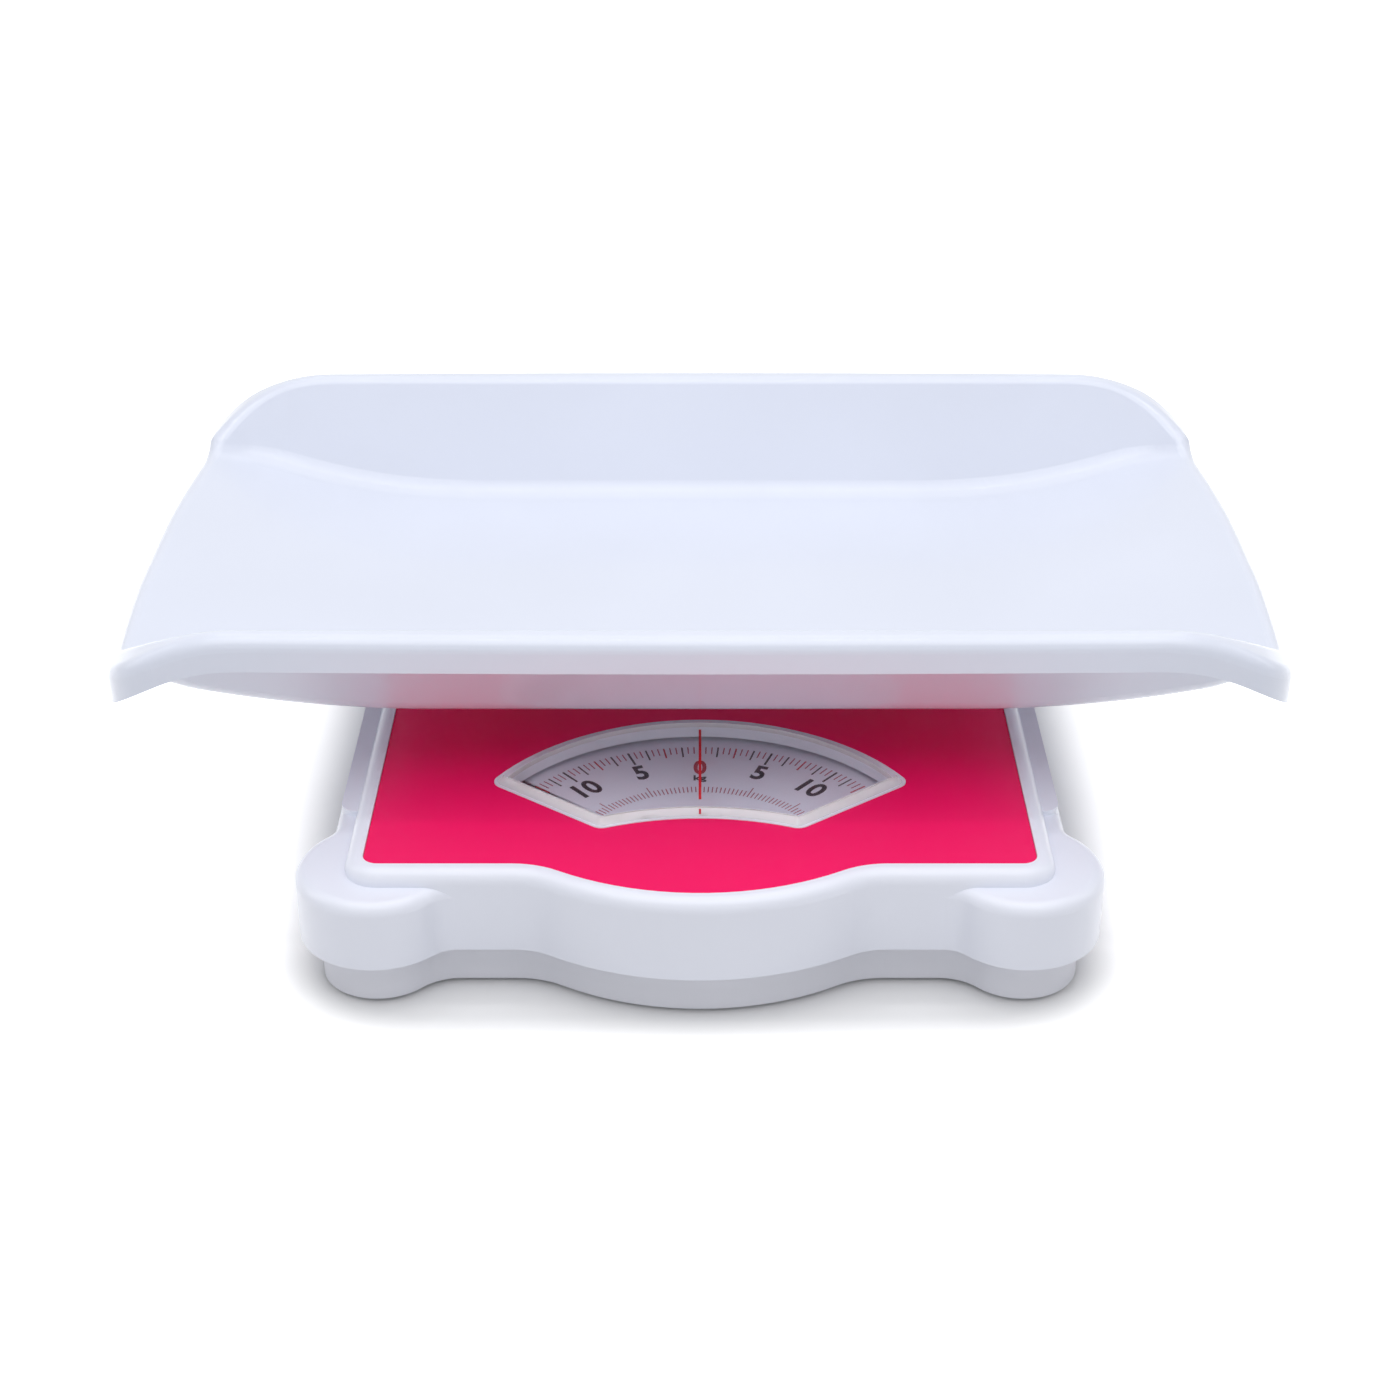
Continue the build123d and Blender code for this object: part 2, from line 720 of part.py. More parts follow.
# Load rails under the platform, with ears that sit on the lever load pins
slot_roof_z = fulcrum_z + lever_pin_radius + play
for side in (-1, 1):
    with BuildPart() as load_rail:
        with BuildSketch(Plane.XY.offset(ceiling_z)):
            with Locations((side * lever_x, (front_load_y + rear_load_y) / 2)):
                Rectangle(2 * ear_offset + ear_thick, rear_load_y - front_load_y + 2 * rail_end)
        extrude(amount=-rail_thick)
        with BuildSketch(Plane.XY.offset(ceiling_z)):
            with Locations((side * lever_x, front_load_y), (side * lever_x, rear_load_y)):
                with GridLocations(2 * ear_offset, 0, 2, 1):
                    Rectangle(ear_thick, ear_width)
        extrude(amount=fulcrum_z - rail_foot - ceiling_z)
        with BuildSketch(Plane.YZ.offset(side * lever_x)):
            with Locations((front_load_y, fulcrum_z), (rear_load_y, fulcrum_z)):
                Rectangle(pin_slot, 2 * (slot_roof_z - fulcrum_z))
        extrude(amount=ear_offset + ear_thick, both=True, mode=Mode.SUBTRACT)
    save(load_rail, f"load_rail_{side_name(side)}")

# Calibrating plate, the stirrup that the lever noses press down
finger_x = crank_x - crank_thick / 2 - play - tongue_x_width
with BuildPart() as calibrating_plate:
    with BuildSketch(Plane.XY.offset(plate_top_z)):
        with Locations((0, nose_y)):
            Rectangle(2 * plate_half, plate_front + plate_rear)
        with Locations((finger_x + tongue_x_width / 2, (arm_end_y - finger_depth / 2 + nose_y) / 2)):
            Rectangle(tongue_x_width, nose_y - arm_end_y + finger_depth / 2)
    extrude(amount=-plate_thick)
    with BuildSketch(Plane.XY.offset(plate_top_z)):
        with Locations((0, nose_y)):
            Rectangle(stem_width, stem_thick)
    extrude(amount=stem_top_z - plate_top_z)
    with BuildSketch(Plane.XY.offset(plate_top_z)):
        with Locations((finger_x + tongue_x_width / 2, arm_end_y)):
            Rectangle(tongue_x_width, finger_depth)
    extrude(amount=finger_top_z - plate_top_z)
    with BuildSketch(Plane.XY.offset(stem_top_z)):
        with Locations((0, nose_y)):
            Circle(spring_radius + spring_wire)
    extrude(amount=-plate_thick)
save(calibrating_plate, "calibrating_plate")

# Main spring between the bridge and the calibrating plate
coil_bottom_z = stem_top_z + play + spring_wire
coil_length = bridge_disc_z - play - spring_wire - coil_bottom_z
with BuildPart() as main_spring:
    with BuildLine(Plane.XY.offset(coil_bottom_z)):
        coil = Helix(pitch=coil_length / spring_turns, height=coil_length, radius=spring_radius)
    with BuildSketch(Plane(origin=coil @ 0, z_dir=coil % 0)):
        RegularPolygon(spring_wire, spring_sides)
    sweep(path=coil, is_frenet=True)
main_spring.part = Pos(0, nose_y, 0) * main_spring.part
save(main_spring, "main_spring")

# Spring bridge over the carriage, with the hook that holds the spring
with BuildPart() as spring_bridge:
    with BuildSketch(Plane.XZ.offset(-nose_y)):
        with BuildLine():
            Polyline(
                (-bridge_half - bridge_foot, pan_floor_z),
                (-bridge_half + bridge_thick, pan_floor_z),
                (-bridge_half + bridge_thick, bridge_beam_z),
                (bridge_half - bridge_thick, bridge_beam_z),
                (bridge_half - bridge_thick, pan_floor_z),
                (bridge_half + bridge_foot, pan_floor_z),
                (bridge_half + bridge_foot, pan_floor_z + bridge_thick),
                (bridge_half, pan_floor_z + bridge_thick),
                (bridge_half, bridge_beam_z + bridge_thick),
                (-bridge_half, bridge_beam_z + bridge_thick),
                (-bridge_half, pan_floor_z + bridge_thick),
                (-bridge_half - bridge_foot, pan_floor_z + bridge_thick),
                close=True,
            )
        make_face()
    extrude(amount=bridge_depth / 2, both=True)
    with BuildSketch(Plane.XY.offset(bridge_beam_z)):
        with Locations((0, nose_y)):
            Circle(spring_radius + spring_wire)
    extrude(amount=bridge_disc_z - bridge_beam_z)
save(spring_bridge, "spring_bridge")

# Crank bracket with two ears round the bell crank
with BuildPart() as crank_bracket:
    inner_half = crank_thick / 2 + ear_gap
    with BuildSketch(Plane.XY.offset(pan_floor_z)):
        with Locations((crank_x, crank_y)):
            Rectangle(2 * inner_half + 2 * crank_ear + 2 * bracket_margin, crank_ear_depth)
    extrude(amount=bracket_plate)
    with BuildSketch(Plane.XY.offset(pan_floor_z)):
        with Locations((crank_x, crank_y)):
            with GridLocations(2 * inner_half + crank_ear, 0, 2, 1):
                Rectangle(crank_ear, crank_ear_depth)
    extrude(amount=crank_z + crank_hub - pan_floor_z)
    with BuildSketch(Plane.YZ.offset(crank_x)):
        with Locations((crank_y, crank_z)):
            Circle(shaft_radius + shaft_bore_gap)
    extrude(amount=2 * inner_half, both=True, mode=Mode.SUBTRACT)
save(crank_bracket, "crank_bracket")

# Bell crank, turned by the carriage and pulling the rack
with BuildPart() as bell_crank:
    pivot = (crank_y, crank_z)
    with BuildSketch(Plane.YZ.offset(crank_x)):
        with Locations(pivot):
            Circle(crank_hub)
        bar(pivot, (arm_end_y, arm_end_z), crank_width)
        bar(pivot, (top_pin_y, top_pin_z), crank_width)
    extrude(amount=crank_thick / 2, both=True)
    with BuildSketch(Plane.YZ.offset(crank_x)):
        with Locations(pivot):
            Circle(shaft_radius)
    extrude(amount=inner_half + crank_ear, both=True)
    with BuildSketch(Plane.YZ.offset(crank_x)):
        with Locations((arm_end_y, arm_end_z)):
            Circle(crank_pin)
    extrude(amount=finger_x - crank_x)
    with BuildSketch(Plane.YZ.offset(crank_x)):
        with Locations((top_pin_y, top_pin_z)):
            Circle(crank_pin)
    extrude(amount=crank_thick / 2 + play + rack_back)
save(bell_crank, "bell_crank")

# Rack rod with its teeth at the pinion and a slotted plate at the crank
rack_x = crank_x + crank_thick / 2 + play
rack_front_y = pivot_y - rack_travel - rack_end_run
tooth_pitch = pi * tooth_module
root_x = pitch_radius + root_depth * tooth_module
tooth_half = tooth_pitch / 4 - tooth_slack / 2
tooth_lean = tan(radians(pressure_angle)) * tooth_module
tooth_steps = range(-ceil(rack_travel / tooth_pitch) - 1, 2)
with BuildPart() as rack_rod:
    with BuildSketch(Plane.XY.offset(rack_z)):
        with Locations((rack_x + rack_back / 2, (rack_front_y + top_pin_y) / 2)):
            Rectangle(rack_back, top_pin_y - rack_front_y)
        strip_x = rack_x + rack_back / 2
        strip_y = pivot_y + (tooth_steps[0] + tooth_steps[-1]) / 2 * tooth_pitch
        with Locations(((root_x + strip_x) / 2, strip_y)):
            Rectangle(strip_x - root_x, len(tooth_steps) * tooth_pitch)
        for step in tooth_steps:
            middle = pivot_y + step * tooth_pitch
            base_half = tooth_half + tooth_lean * root_depth
            Polygon(
                (pitch_radius - tooth_module, middle - tooth_half + tooth_lean),
                (root_x, middle - base_half),
                (root_x, middle + base_half),
                (pitch_radius - tooth_module, middle + tooth_half - tooth_lean),
                align=None,
            )
    extrude(amount=rack_height)
    with BuildSketch(Plane.YZ.offset(rack_x)):
        with Locations((top_pin_y, top_pin_z)):
            Rectangle(hook_plate_run, hook_plate_height)
    extrude(amount=rack_back)
    with BuildSketch(Plane.YZ.offset(rack_x)):
        with Locations((top_pin_y, top_pin_z)):
            SlotCenterToCenter(crank_pin, 2 * (crank_pin + play), rotation=90)
    extrude(amount=rack_back, mode=Mode.SUBTRACT)
save(rack_rod, "rack_rod")

# Rack guides, eyes on posts that keep the rack at the pinion
guide_front_y = pivot_y + guide_setback
guide_rear_y = top_pin_y - guide_setback
for end, y in (("front", guide_front_y), ("rear", guide_rear_y)):
    with BuildPart() as rack_guide:
        with BuildSketch(Plane.XY.offset(pan_floor_z)):
            with Locations((rack_x + rack_back / 2, y)):
                Rectangle(rack_back + 2 * guide_margin, guide_thick)
        extrude(amount=rack_z + rack_height + guide_margin - pan_floor_z)
        with BuildSketch(Plane.XY.offset(pan_floor_z)):
            with Locations((rack_x + rack_back / 2, y)):
                Rectangle(rack_back + 4 * guide_margin, guide_thick + 4 * guide_margin)
        extrude(amount=bracket_plate)
        with BuildSketch(Plane.XZ.offset(-y)):
            with Locations((rack_x + rack_back / 2, rack_z + rack_height / 2)):
                Rectangle(rack_back + 2 * play, rack_height + 2 * play)
        extrude(amount=guide_thick, both=True, mode=Mode.SUBTRACT)
    save(rack_guide, f"rack_guide_{end}")


def involute(radius):
    """Involute of the pressure angle at a radius of the pinion."""
    base = pitch_radius * cos(radians(pressure_angle))
    angle = acos(min(base / radius, 1))
    return tan(angle) - angle


def flank(radius, side):
    """Point of a pinion tooth's flank at a radius, for a tooth that points along +X."""
    half = tooth_half / pitch_radius + involute(pitch_radius) - involute(radius)
    return (radius * cos(half), side * radius * sin(half))


# Pinion with involute teeth, a gap facing the rack at rest
pinion_root = pitch_radius - root_depth * tooth_module
pinion_base = pitch_radius * cos(radians(pressure_angle))
pinion_tip = pitch_radius + tooth_module
flank_radii = (pinion_root - play, pinion_base, pitch_radius, pinion_tip)
with BuildPart() as pinion:
    with BuildSketch(Plane.XY.offset(pinion_z)):
        Circle(pinion_root)
        with PolarLocations(0, pinion_teeth, start_angle=180 / pinion_teeth):
            lower = [flank(radius, -1) for radius in flank_radii]
            upper = [flank(radius, 1) for radius in reversed(flank_radii)]
            Polygon(*lower, *upper, align=None)
        Circle(shaft_radius, mode=Mode.SUBTRACT)
    extrude(amount=pinion_height)
pinion.part = Pos(0, pivot_y, 0) * pinion.part
save(pinion, "pinion")

# Dial shaft
bore_bottom_z = post_top_z - bore_depth
with BuildPart() as dial_shaft:
    with BuildSketch(Plane.XY.offset(bore_bottom_z + play)):
        with Locations((0, pivot_y)):
            Circle(shaft_radius)
    extrude(amount=dial_top_z + shaft_top - bore_bottom_z - play)
save(dial_shaft, "dial_shaft")

# Post with the bore for the dial shaft
with BuildPart() as dial_post:
    with BuildSketch(Plane.XY.offset(pan_floor_z)):
        with Locations((0, pivot_y)):
            Circle(post_foot_radius)
    extrude(amount=post_foot_height)
    with BuildSketch(Plane.XY.offset(pan_floor_z)):
        with Locations((0, pivot_y)):
            Circle(post_radius)
    extrude(amount=post_top_z - pan_floor_z)
    with BuildSketch(Plane.XY.offset(post_top_z)):
        with Locations((0, pivot_y)):
            Circle(shaft_radius + shaft_bore_gap)
    extrude(amount=-bore_depth, mode=Mode.SUBTRACT)
save(dial_post, "dial_post")

# Dial, a fan whose marks lie under the window at every weight up to its stop
with BuildPart() as dial_fan:
    with BuildSketch(Plane.XY.offset(dial_top_z - dial_thick)) as dial_face:
        with BuildLine():
            start = 90 - dial_lead
            edge = CenterArc((0, 0), dial_radius, start, dial_lead + dial_trail)
            Polyline(edge @ 1, (0, 0), edge @ 0)
        make_face()
        rim_corners = dial_face.vertices().filter_by(lambda v: hypot(v.X, v.Y) > dial_radius / 2)
        fillet(rim_corners, dial_corner)
        Circle(dial_hub_radius)
        Circle(shaft_radius, mode=Mode.SUBTRACT)
    extrude(amount=dial_thick)
    with BuildSketch(Plane.XY.offset(dial_top_z - dial_thick)):
        Circle(dial_hub_radius)
        Circle(shaft_radius, mode=Mode.SUBTRACT)
    extrude(amount=-dial_hub_height)
dial_fan.part = Pos(0, pivot_y, 0) * dial_fan.part
save(dial_fan, "dial_fan")

# Zero wheel at the rear, on a rod that ends in the nut at the spring bridge
wheel_y = pan_rear_y + play
collar_y = pan_rear_y - shell_wall - play
nut_y = nose_y + bridge_depth / 2 + nut_gap
with BuildPart() as zero_wheel:
    with BuildSketch(Plane.XZ.offset(-wheel_y)):
        with Locations((0, wheel_z)):
            Circle(wheel_radius)
            with PolarLocations(wheel_radius, wheel_flutes):
                Circle(flute_radius, mode=Mode.SUBTRACT)
    extrude(amount=-wheel_thick)
    with BuildSketch(Plane.XZ.offset(-wheel_y)):
        with Locations((0, wheel_z)):
            Circle(rod_radius)
    extrude(amount=wheel_y - nut_y - nut_gap)
    with BuildSketch(Plane.XZ.offset(-collar_y)):
        with Locations((0, wheel_z)):
            Circle(collar_radius)
    extrude(amount=collar_length)
save(zero_wheel, "zero_wheel")

# Nut block that the zero rod turns in
with BuildPart() as zero_nut:
    with BuildSketch(Plane.XY.offset(pan_floor_z)):
        with Locations((0, nut_y + nut_length / 2)):
            Rectangle(2 * nut_half, nut_length)
    extrude(amount=nut_height)
    with BuildSketch(Plane.XZ.offset(-nut_y)):
        with Locations((0, wheel_z)):
            Circle(knob_bore)
    extrude(amount=-nut_length, mode=Mode.SUBTRACT)
save(zero_nut, "zero_nut")
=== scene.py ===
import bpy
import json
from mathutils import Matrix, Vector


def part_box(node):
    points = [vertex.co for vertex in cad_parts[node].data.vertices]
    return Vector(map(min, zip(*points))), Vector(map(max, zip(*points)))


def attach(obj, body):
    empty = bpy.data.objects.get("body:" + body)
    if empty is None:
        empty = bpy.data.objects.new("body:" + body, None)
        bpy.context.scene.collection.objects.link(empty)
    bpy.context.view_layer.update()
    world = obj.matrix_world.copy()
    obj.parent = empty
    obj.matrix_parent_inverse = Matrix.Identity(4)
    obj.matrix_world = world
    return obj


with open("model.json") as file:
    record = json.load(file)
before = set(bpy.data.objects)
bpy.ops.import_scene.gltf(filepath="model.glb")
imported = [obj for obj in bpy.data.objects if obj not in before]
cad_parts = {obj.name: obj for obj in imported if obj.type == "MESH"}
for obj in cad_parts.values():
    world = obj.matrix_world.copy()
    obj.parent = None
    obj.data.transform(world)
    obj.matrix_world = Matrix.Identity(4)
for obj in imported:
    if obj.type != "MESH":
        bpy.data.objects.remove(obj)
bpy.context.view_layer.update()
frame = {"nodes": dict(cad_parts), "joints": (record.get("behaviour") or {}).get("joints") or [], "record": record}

import json
import logging
import math
from dataclasses import dataclass, field
from enum import Enum

import bmesh
import bpy
from mathutils import Matrix, Vector

MM = 0.001
LOG = logging.getLogger("baby_scale")

# The sRGB curve: straight up to the toe, then a power of the shifted value
SRGB_TOE, SRGB_SLOPE, SRGB_SHIFT, SRGB_POWER = 0.04045, 12.92, 0.055, 2.4

# Noise values at which a drifting colour is at its darkest and at its palest
DARK_STOP, PALE_STOP = 0.2, 0.8

# Rays that show the floor and the sky themselves; all other rays carry their light to things
SEEN_RAYS = ("Is Camera Ray", "Is Glossy Ray", "Is Transmission Ray")


def srgb(code: str) -> tuple[float, float, float, float]:
    """Turn an sRGB hex colour into linear light.

    Args:
        code: Colour as six hex digits after a hash sign.

    Returns:
        Linear red, green, blue and an alpha of 1.
    """
    parts = [int(code[i:i + 2], 16) / 255 for i in (1, 3, 5)]
    linear = [
        p / SRGB_SLOPE if p <= SRGB_TOE else ((p + SRGB_SHIFT) / (1 + SRGB_SHIFT)) ** SRGB_POWER
        for p in parts]
    return (*linear, 1.0)


WHITE = srgb("#FFFFFF")


def add_node(
    tree: bpy.types.NodeTree,
    kind: str,
    inputs: dict[str | int, object] | None = None,
    **settings: object,
) -> bpy.types.Node:
    """Add a node with its settings, values and links.

    Args:
        tree: Node tree that takes the node.
        kind: Blender's type name of the node.
        inputs: Values or source sockets, by socket name or number.
        **settings: Properties of the node itself.

    Returns:
        The new node.
    """
    node = tree.nodes.new(kind)
    for name, value in settings.items():
        setattr(node, name, value)
    for socket, value in (inputs or {}).items():
        if isinstance(value, bpy.types.NodeSocket):
            tree.links.new(value, node.inputs[socket])
        else:
            node.inputs[socket].default_value = value
    return node


def empty_tree(owner: bpy.types.ID) -> bpy.types.NodeTree:
    """Give a material or a world a node tree with nothing in it.

    Args:
        owner: Material or world.

    Returns:
        Its empty node tree.
    """
    owner.use_nodes = True
    owner.node_tree.nodes.clear()
    return owner.node_tree


def ray_is(tree: bpy.types.NodeTree, kinds: tuple[str, ...]) -> bpy.types.NodeSocket:
    """Tell rays of some kinds from all others.

    Args:
        tree: Node tree that takes the nodes.
        kinds: Names of the Light Path node's outputs.

    Returns:
        Socket that gives 1 for rays of these kinds and 0 for all others.
    """
    path = add_node(tree, "ShaderNodeLightPath")
    found, *others = (path.outputs[kind] for kind in kinds)
    for other in others:
        inputs = {0: found, 1: other}
        found = add_node(tree, "ShaderNodeMath", inputs, operation="MAXIMUM").outputs[0]
    return found


def mix_shaders(
    tree: bpy.types.NodeTree,
    share: bpy.types.NodeSocket,
    first: bpy.types.Node,
    second: bpy.types.Node,
) -> bpy.types.Node:
    """Mix two shaders.

    Args:
        tree: Node tree that takes the node.
        share: Socket that gives 0 for the first shader and 1 for the second.
        first: One shader.
        second: The other shader.

    Returns:
        Node that gives their mix.
    """
    inputs = {0: share, 1: first.outputs[0], 2: second.outputs[0]}
    return add_node(tree, "ShaderNodeMixShader", inputs)


def add_object(name: str, data: bpy.types.ID) -> bpy.types.Object:
    """Put a mesh, a lamp or a camera into the scene.

    Args:
        name: Name of the object.
        data: Mesh, lamp or camera.

    Returns:
        The new object, at the frame's origin.
    """
    made = bpy.data.objects.new(name, data)
    bpy.context.scene.collection.objects.link(made)
    return made


def add_block(
    shape: bmesh.types.BMesh, place: Matrix, size_mm: tuple[float, float, float]
) -> None:
    """Add a rectangular block to a shape.

    Args:
        shape: Shape that takes the block.
        place: Frame at the block's centre.
        size_mm: Size along the axes of that frame.
    """
    made = bmesh.ops.create_cube(shape, size=1.0)["verts"]
    size = Matrix.Diagonal((*(side * MM for side in size_mm), 1.0))
    bmesh.ops.transform(shape, matrix=place @ size, verts=made)


def mesh_of_shape(name: str, shape: bmesh.types.BMesh) -> bpy.types.Mesh:
    """Turn a finished shape into a mesh.

    Args:
        name: Name of the mesh.
        shape: Shape, which is freed.

    Returns:
        The new mesh.
    """
    mesh = bpy.data.meshes.new(name)
    shape.to_mesh(mesh)
    shape.free()
    return mesh


def mesh_of_curve(curve: bpy.types.Curve) -> bpy.types.Mesh:
    """Turn a curve or a text into a mesh.

    Args:
        curve: Curve or text.

    Returns:
        The new mesh.
    """
    holder = bpy.data.objects.new(curve.name, curve)
    mesh = bpy.data.meshes.new_from_object(holder)
    bpy.data.objects.remove(holder)
    return mesh


class Mould(Enum):
    """Surface that the steel of a mould leaves on plastic, as grain size in mm and depth in mm."""

    POLISHED = (34.0, 0.03)
    SATIN = (0.9, 0.012)
    SPARK = (0.6, 0.03)


class Lines(Enum):
    """Way that the fine lines in steel run, as the scale of their pattern along X, Y and Z."""

    SIDE_TO_SIDE = (0.08, 1.0, 1.0)
    FRONT_TO_BACK = (1.0, 0.08, 1.0)
    UPRIGHT_SHORT = (1.0, 1.0, 0.2)
    UPRIGHT_LONG = (1.0, 1.0, 0.1)


class Mark(Enum):
    """Printed lines of the dial's outer ring, as length in mm, width in mm and ink."""

    SHORT = (6.4, 0.6, "fine")
    HALF = (9.6, 0.85, "red")
    LONG = (9.6, 0.85, "black")
    MAIN = (11.8, 1.1, "black")


class Body(str, Enum):
    """CAD bodies that added pieces ride on."""

    BASE = "base"
    PLATFORM = "platform"
    DIAL = "dial"


@dataclass(frozen=True)
class Drift:
    """Slow, faint change over a surface.

    The size is that of its patches, the tint the share by which the colour darkens, and the gloss
    the amount by which the roughness rises and falls.
    """

    size_mm: float
    tint: float
    gloss: float


@dataclass(frozen=True)
class Pattern:
    """Node tree of a material under way, with the sockets that its patterns need."""

    material: bpy.types.Material
    tree: bpy.types.NodeTree
    shader: bpy.types.Node
    place: bpy.types.NodeSocket

    def noise(
        self,
        size_mm: float,
        detail: float = 1.0,
        stretch: tuple[float, float, float] | None = None,
    ) -> bpy.types.NodeSocket:
        """Add a noise pattern of a real size.

        Args:
            size_mm: Size of one patch of the noise.
            detail: Number of finer layers on top.
            stretch: Scale along each axis, below 1 where the pattern runs long.

        Returns:
            Socket that gives the noise from 0 to 1.
        """
        place = self.place
        if stretch:
            inputs = {"Vector": place, "Scale": stretch}
            place = add_node(self.tree, "ShaderNodeMapping", inputs).outputs[0]
        inputs = {"Vector": place, "Scale": 1 / (size_mm * MM), "Detail": detail}
        return add_node(self.tree, "ShaderNodeTexNoise", inputs).outputs[0]

    def gloss(self, pattern: bpy.types.NodeSocket, low: float, high: float) -> None:
        """Let a pattern move the roughness.

        Args:
            pattern: Pattern from 0 to 1.
            low: Roughness at 0.
            high: Roughness at 1.
        """
        inputs = {"Value": pattern, "To Min": low, "To Max": high}
        spread = add_node(self.tree, "ShaderNodeMapRange", inputs)
        self.tree.links.new(spread.outputs[0], self.shader.inputs["Roughness"])

    def emboss(self, height: bpy.types.NodeSocket, depth_mm: float) -> None:
        """Bump the surface by a pattern.

        Args:
            height: Pattern from 0 to 1.
            depth_mm: Height of the pattern.
        """
        inputs = {"Strength": 1.0, "Distance": depth_mm * MM, "Height": height}
        bump = add_node(self.tree, "ShaderNodeBump", inputs)
        self.tree.links.new(bump.outputs[0], self.shader.inputs["Normal"])

    def set(self, **values: float) -> None:
        """Set plain values of the shader.

        Args:
            **values: Values by socket name, with underscores for its spaces.
        """
        for name, value in values.items():
            self.shader.inputs[name.replace("_", " ")].default_value = value


@dataclass(frozen=True)
class Finish:
    """What every finish has: a name, a colour and a roughness."""

    name: str
    colour: str
    roughness: float

    def build(self) -> bpy.types.Material:
        """Make the material.

        Returns:
            The finished material.
        """
        raise NotImplementedError

    def start(self) -> Pattern:
        """Make a material with only its shader and object coordinates.

        Returns:
            The material's tree and sockets, for the patterns that follow.
        """
        material = bpy.data.materials.new(self.name)
        tree = empty_tree(material)
        inputs = {"Base Color": srgb(self.colour), "Roughness": self.roughness}
        shader = add_node(tree, "ShaderNodeBsdfPrincipled", inputs)
        add_node(tree, "ShaderNodeOutputMaterial", {"Surface": shader.outputs[0]}, name="surface")
        place = add_node(tree, "ShaderNodeTexCoord").outputs["Object"]
        return Pattern(material, tree, shader, place)

    def vary(self, pattern: Pattern, drift: Drift) -> None:
        """Let colour and gloss drift a little over the surface.

        Args:
            pattern: Material under way.
            drift: Size and strength of the change.
        """
        cloud = pattern.noise(drift.size_mm)
        base = srgb(self.colour)
        ramp = add_node(pattern.tree, "ShaderNodeValToRGB", {"Fac": cloud})
        ramp.color_ramp.interpolation = "EASE"
        dark, pale = ramp.color_ramp.elements
        dark.position, dark.color = DARK_STOP, (*(c * (1 - drift.tint) for c in base[:3]), 1.0)
        pale.position, pale.color = PALE_STOP, base
        pattern.tree.links.new(ramp.outputs[0], pattern.shader.inputs["Base Color"])
        pattern.gloss(cloud, self.roughness - drift.gloss, self.roughness + drift.gloss)


@dataclass(frozen=True)
class MouldedPlastic(Finish):
    """Injection-moulded plastic with the skin that its mould leaves.

    The real texture of a satin or spark-eroded mould is about 0.05 mm across. It is drawn
    coarser, so that it shows. A polished mould leaves only slow waves.
    """

    mould: Mould = Mould.POLISHED
    clear_coat: float = 0.0
    coat_roughness: float = 0.08
    grain_layers: float = 2.0
    ior: float = 1.53
    drift: Drift = Drift(size_mm=110.0, tint=0.03, gloss=0.025)

    def build(self) -> bpy.types.Material:
        """Make the material.

        Returns:
            Plastic with the grain of its mould, under a thin glossy skin where it has one.
        """
        pattern = self.start()
        self.vary(pattern, self.drift)
        grain_mm, depth_mm = self.mould.value
        pattern.emboss(pattern.noise(grain_mm, self.grain_layers), depth_mm)
        pattern.set(
            IOR=self.ior, Coat_Weight=self.clear_coat, Coat_Roughness=self.coat_roughness)
        return pattern.material


@dataclass(frozen=True)
class PrintedFilm(Finish):
    """Thin plastic sheet in one even printed colour.

    The real mottle of the ink is about 0.2 mm across. It is drawn coarser, so that it shows.
    """

    mottle_mm: float = 0.7
    mottle_depth_mm: float = 0.004
    ior: float = 1.45
    specular_level: float = 0.3
    drift: Drift = Drift(size_mm=70.0, tint=0.03, gloss=0.02)

    def build(self) -> bpy.types.Material:
        """Make the material.

        Returns:
            Even colour with the faint mottle of screen ink.
        """
        pattern = self.start()
        self.vary(pattern, self.drift)
        pattern.emboss(pattern.noise(self.mottle_mm), self.mottle_depth_mm)
        pattern.set(IOR=self.ior, Specular_IOR_Level=self.specular_level)
        return pattern.material


@dataclass(frozen=True)
class ScreenInk(Finish):
    """Screen-printed ink, flat and a little uneven in strength."""

    ior: float = 1.5
    drift: Drift = Drift(size_mm=1.5, tint=0.18, gloss=0.05)

    def build(self) -> bpy.types.Material:
        """Make the material.

        Returns:
            Dull ink whose strength drifts every millimetre or two.
        """
        pattern = self.start()
        self.vary(pattern, self.drift)
        pattern.set(IOR=self.ior)
        return pattern.material


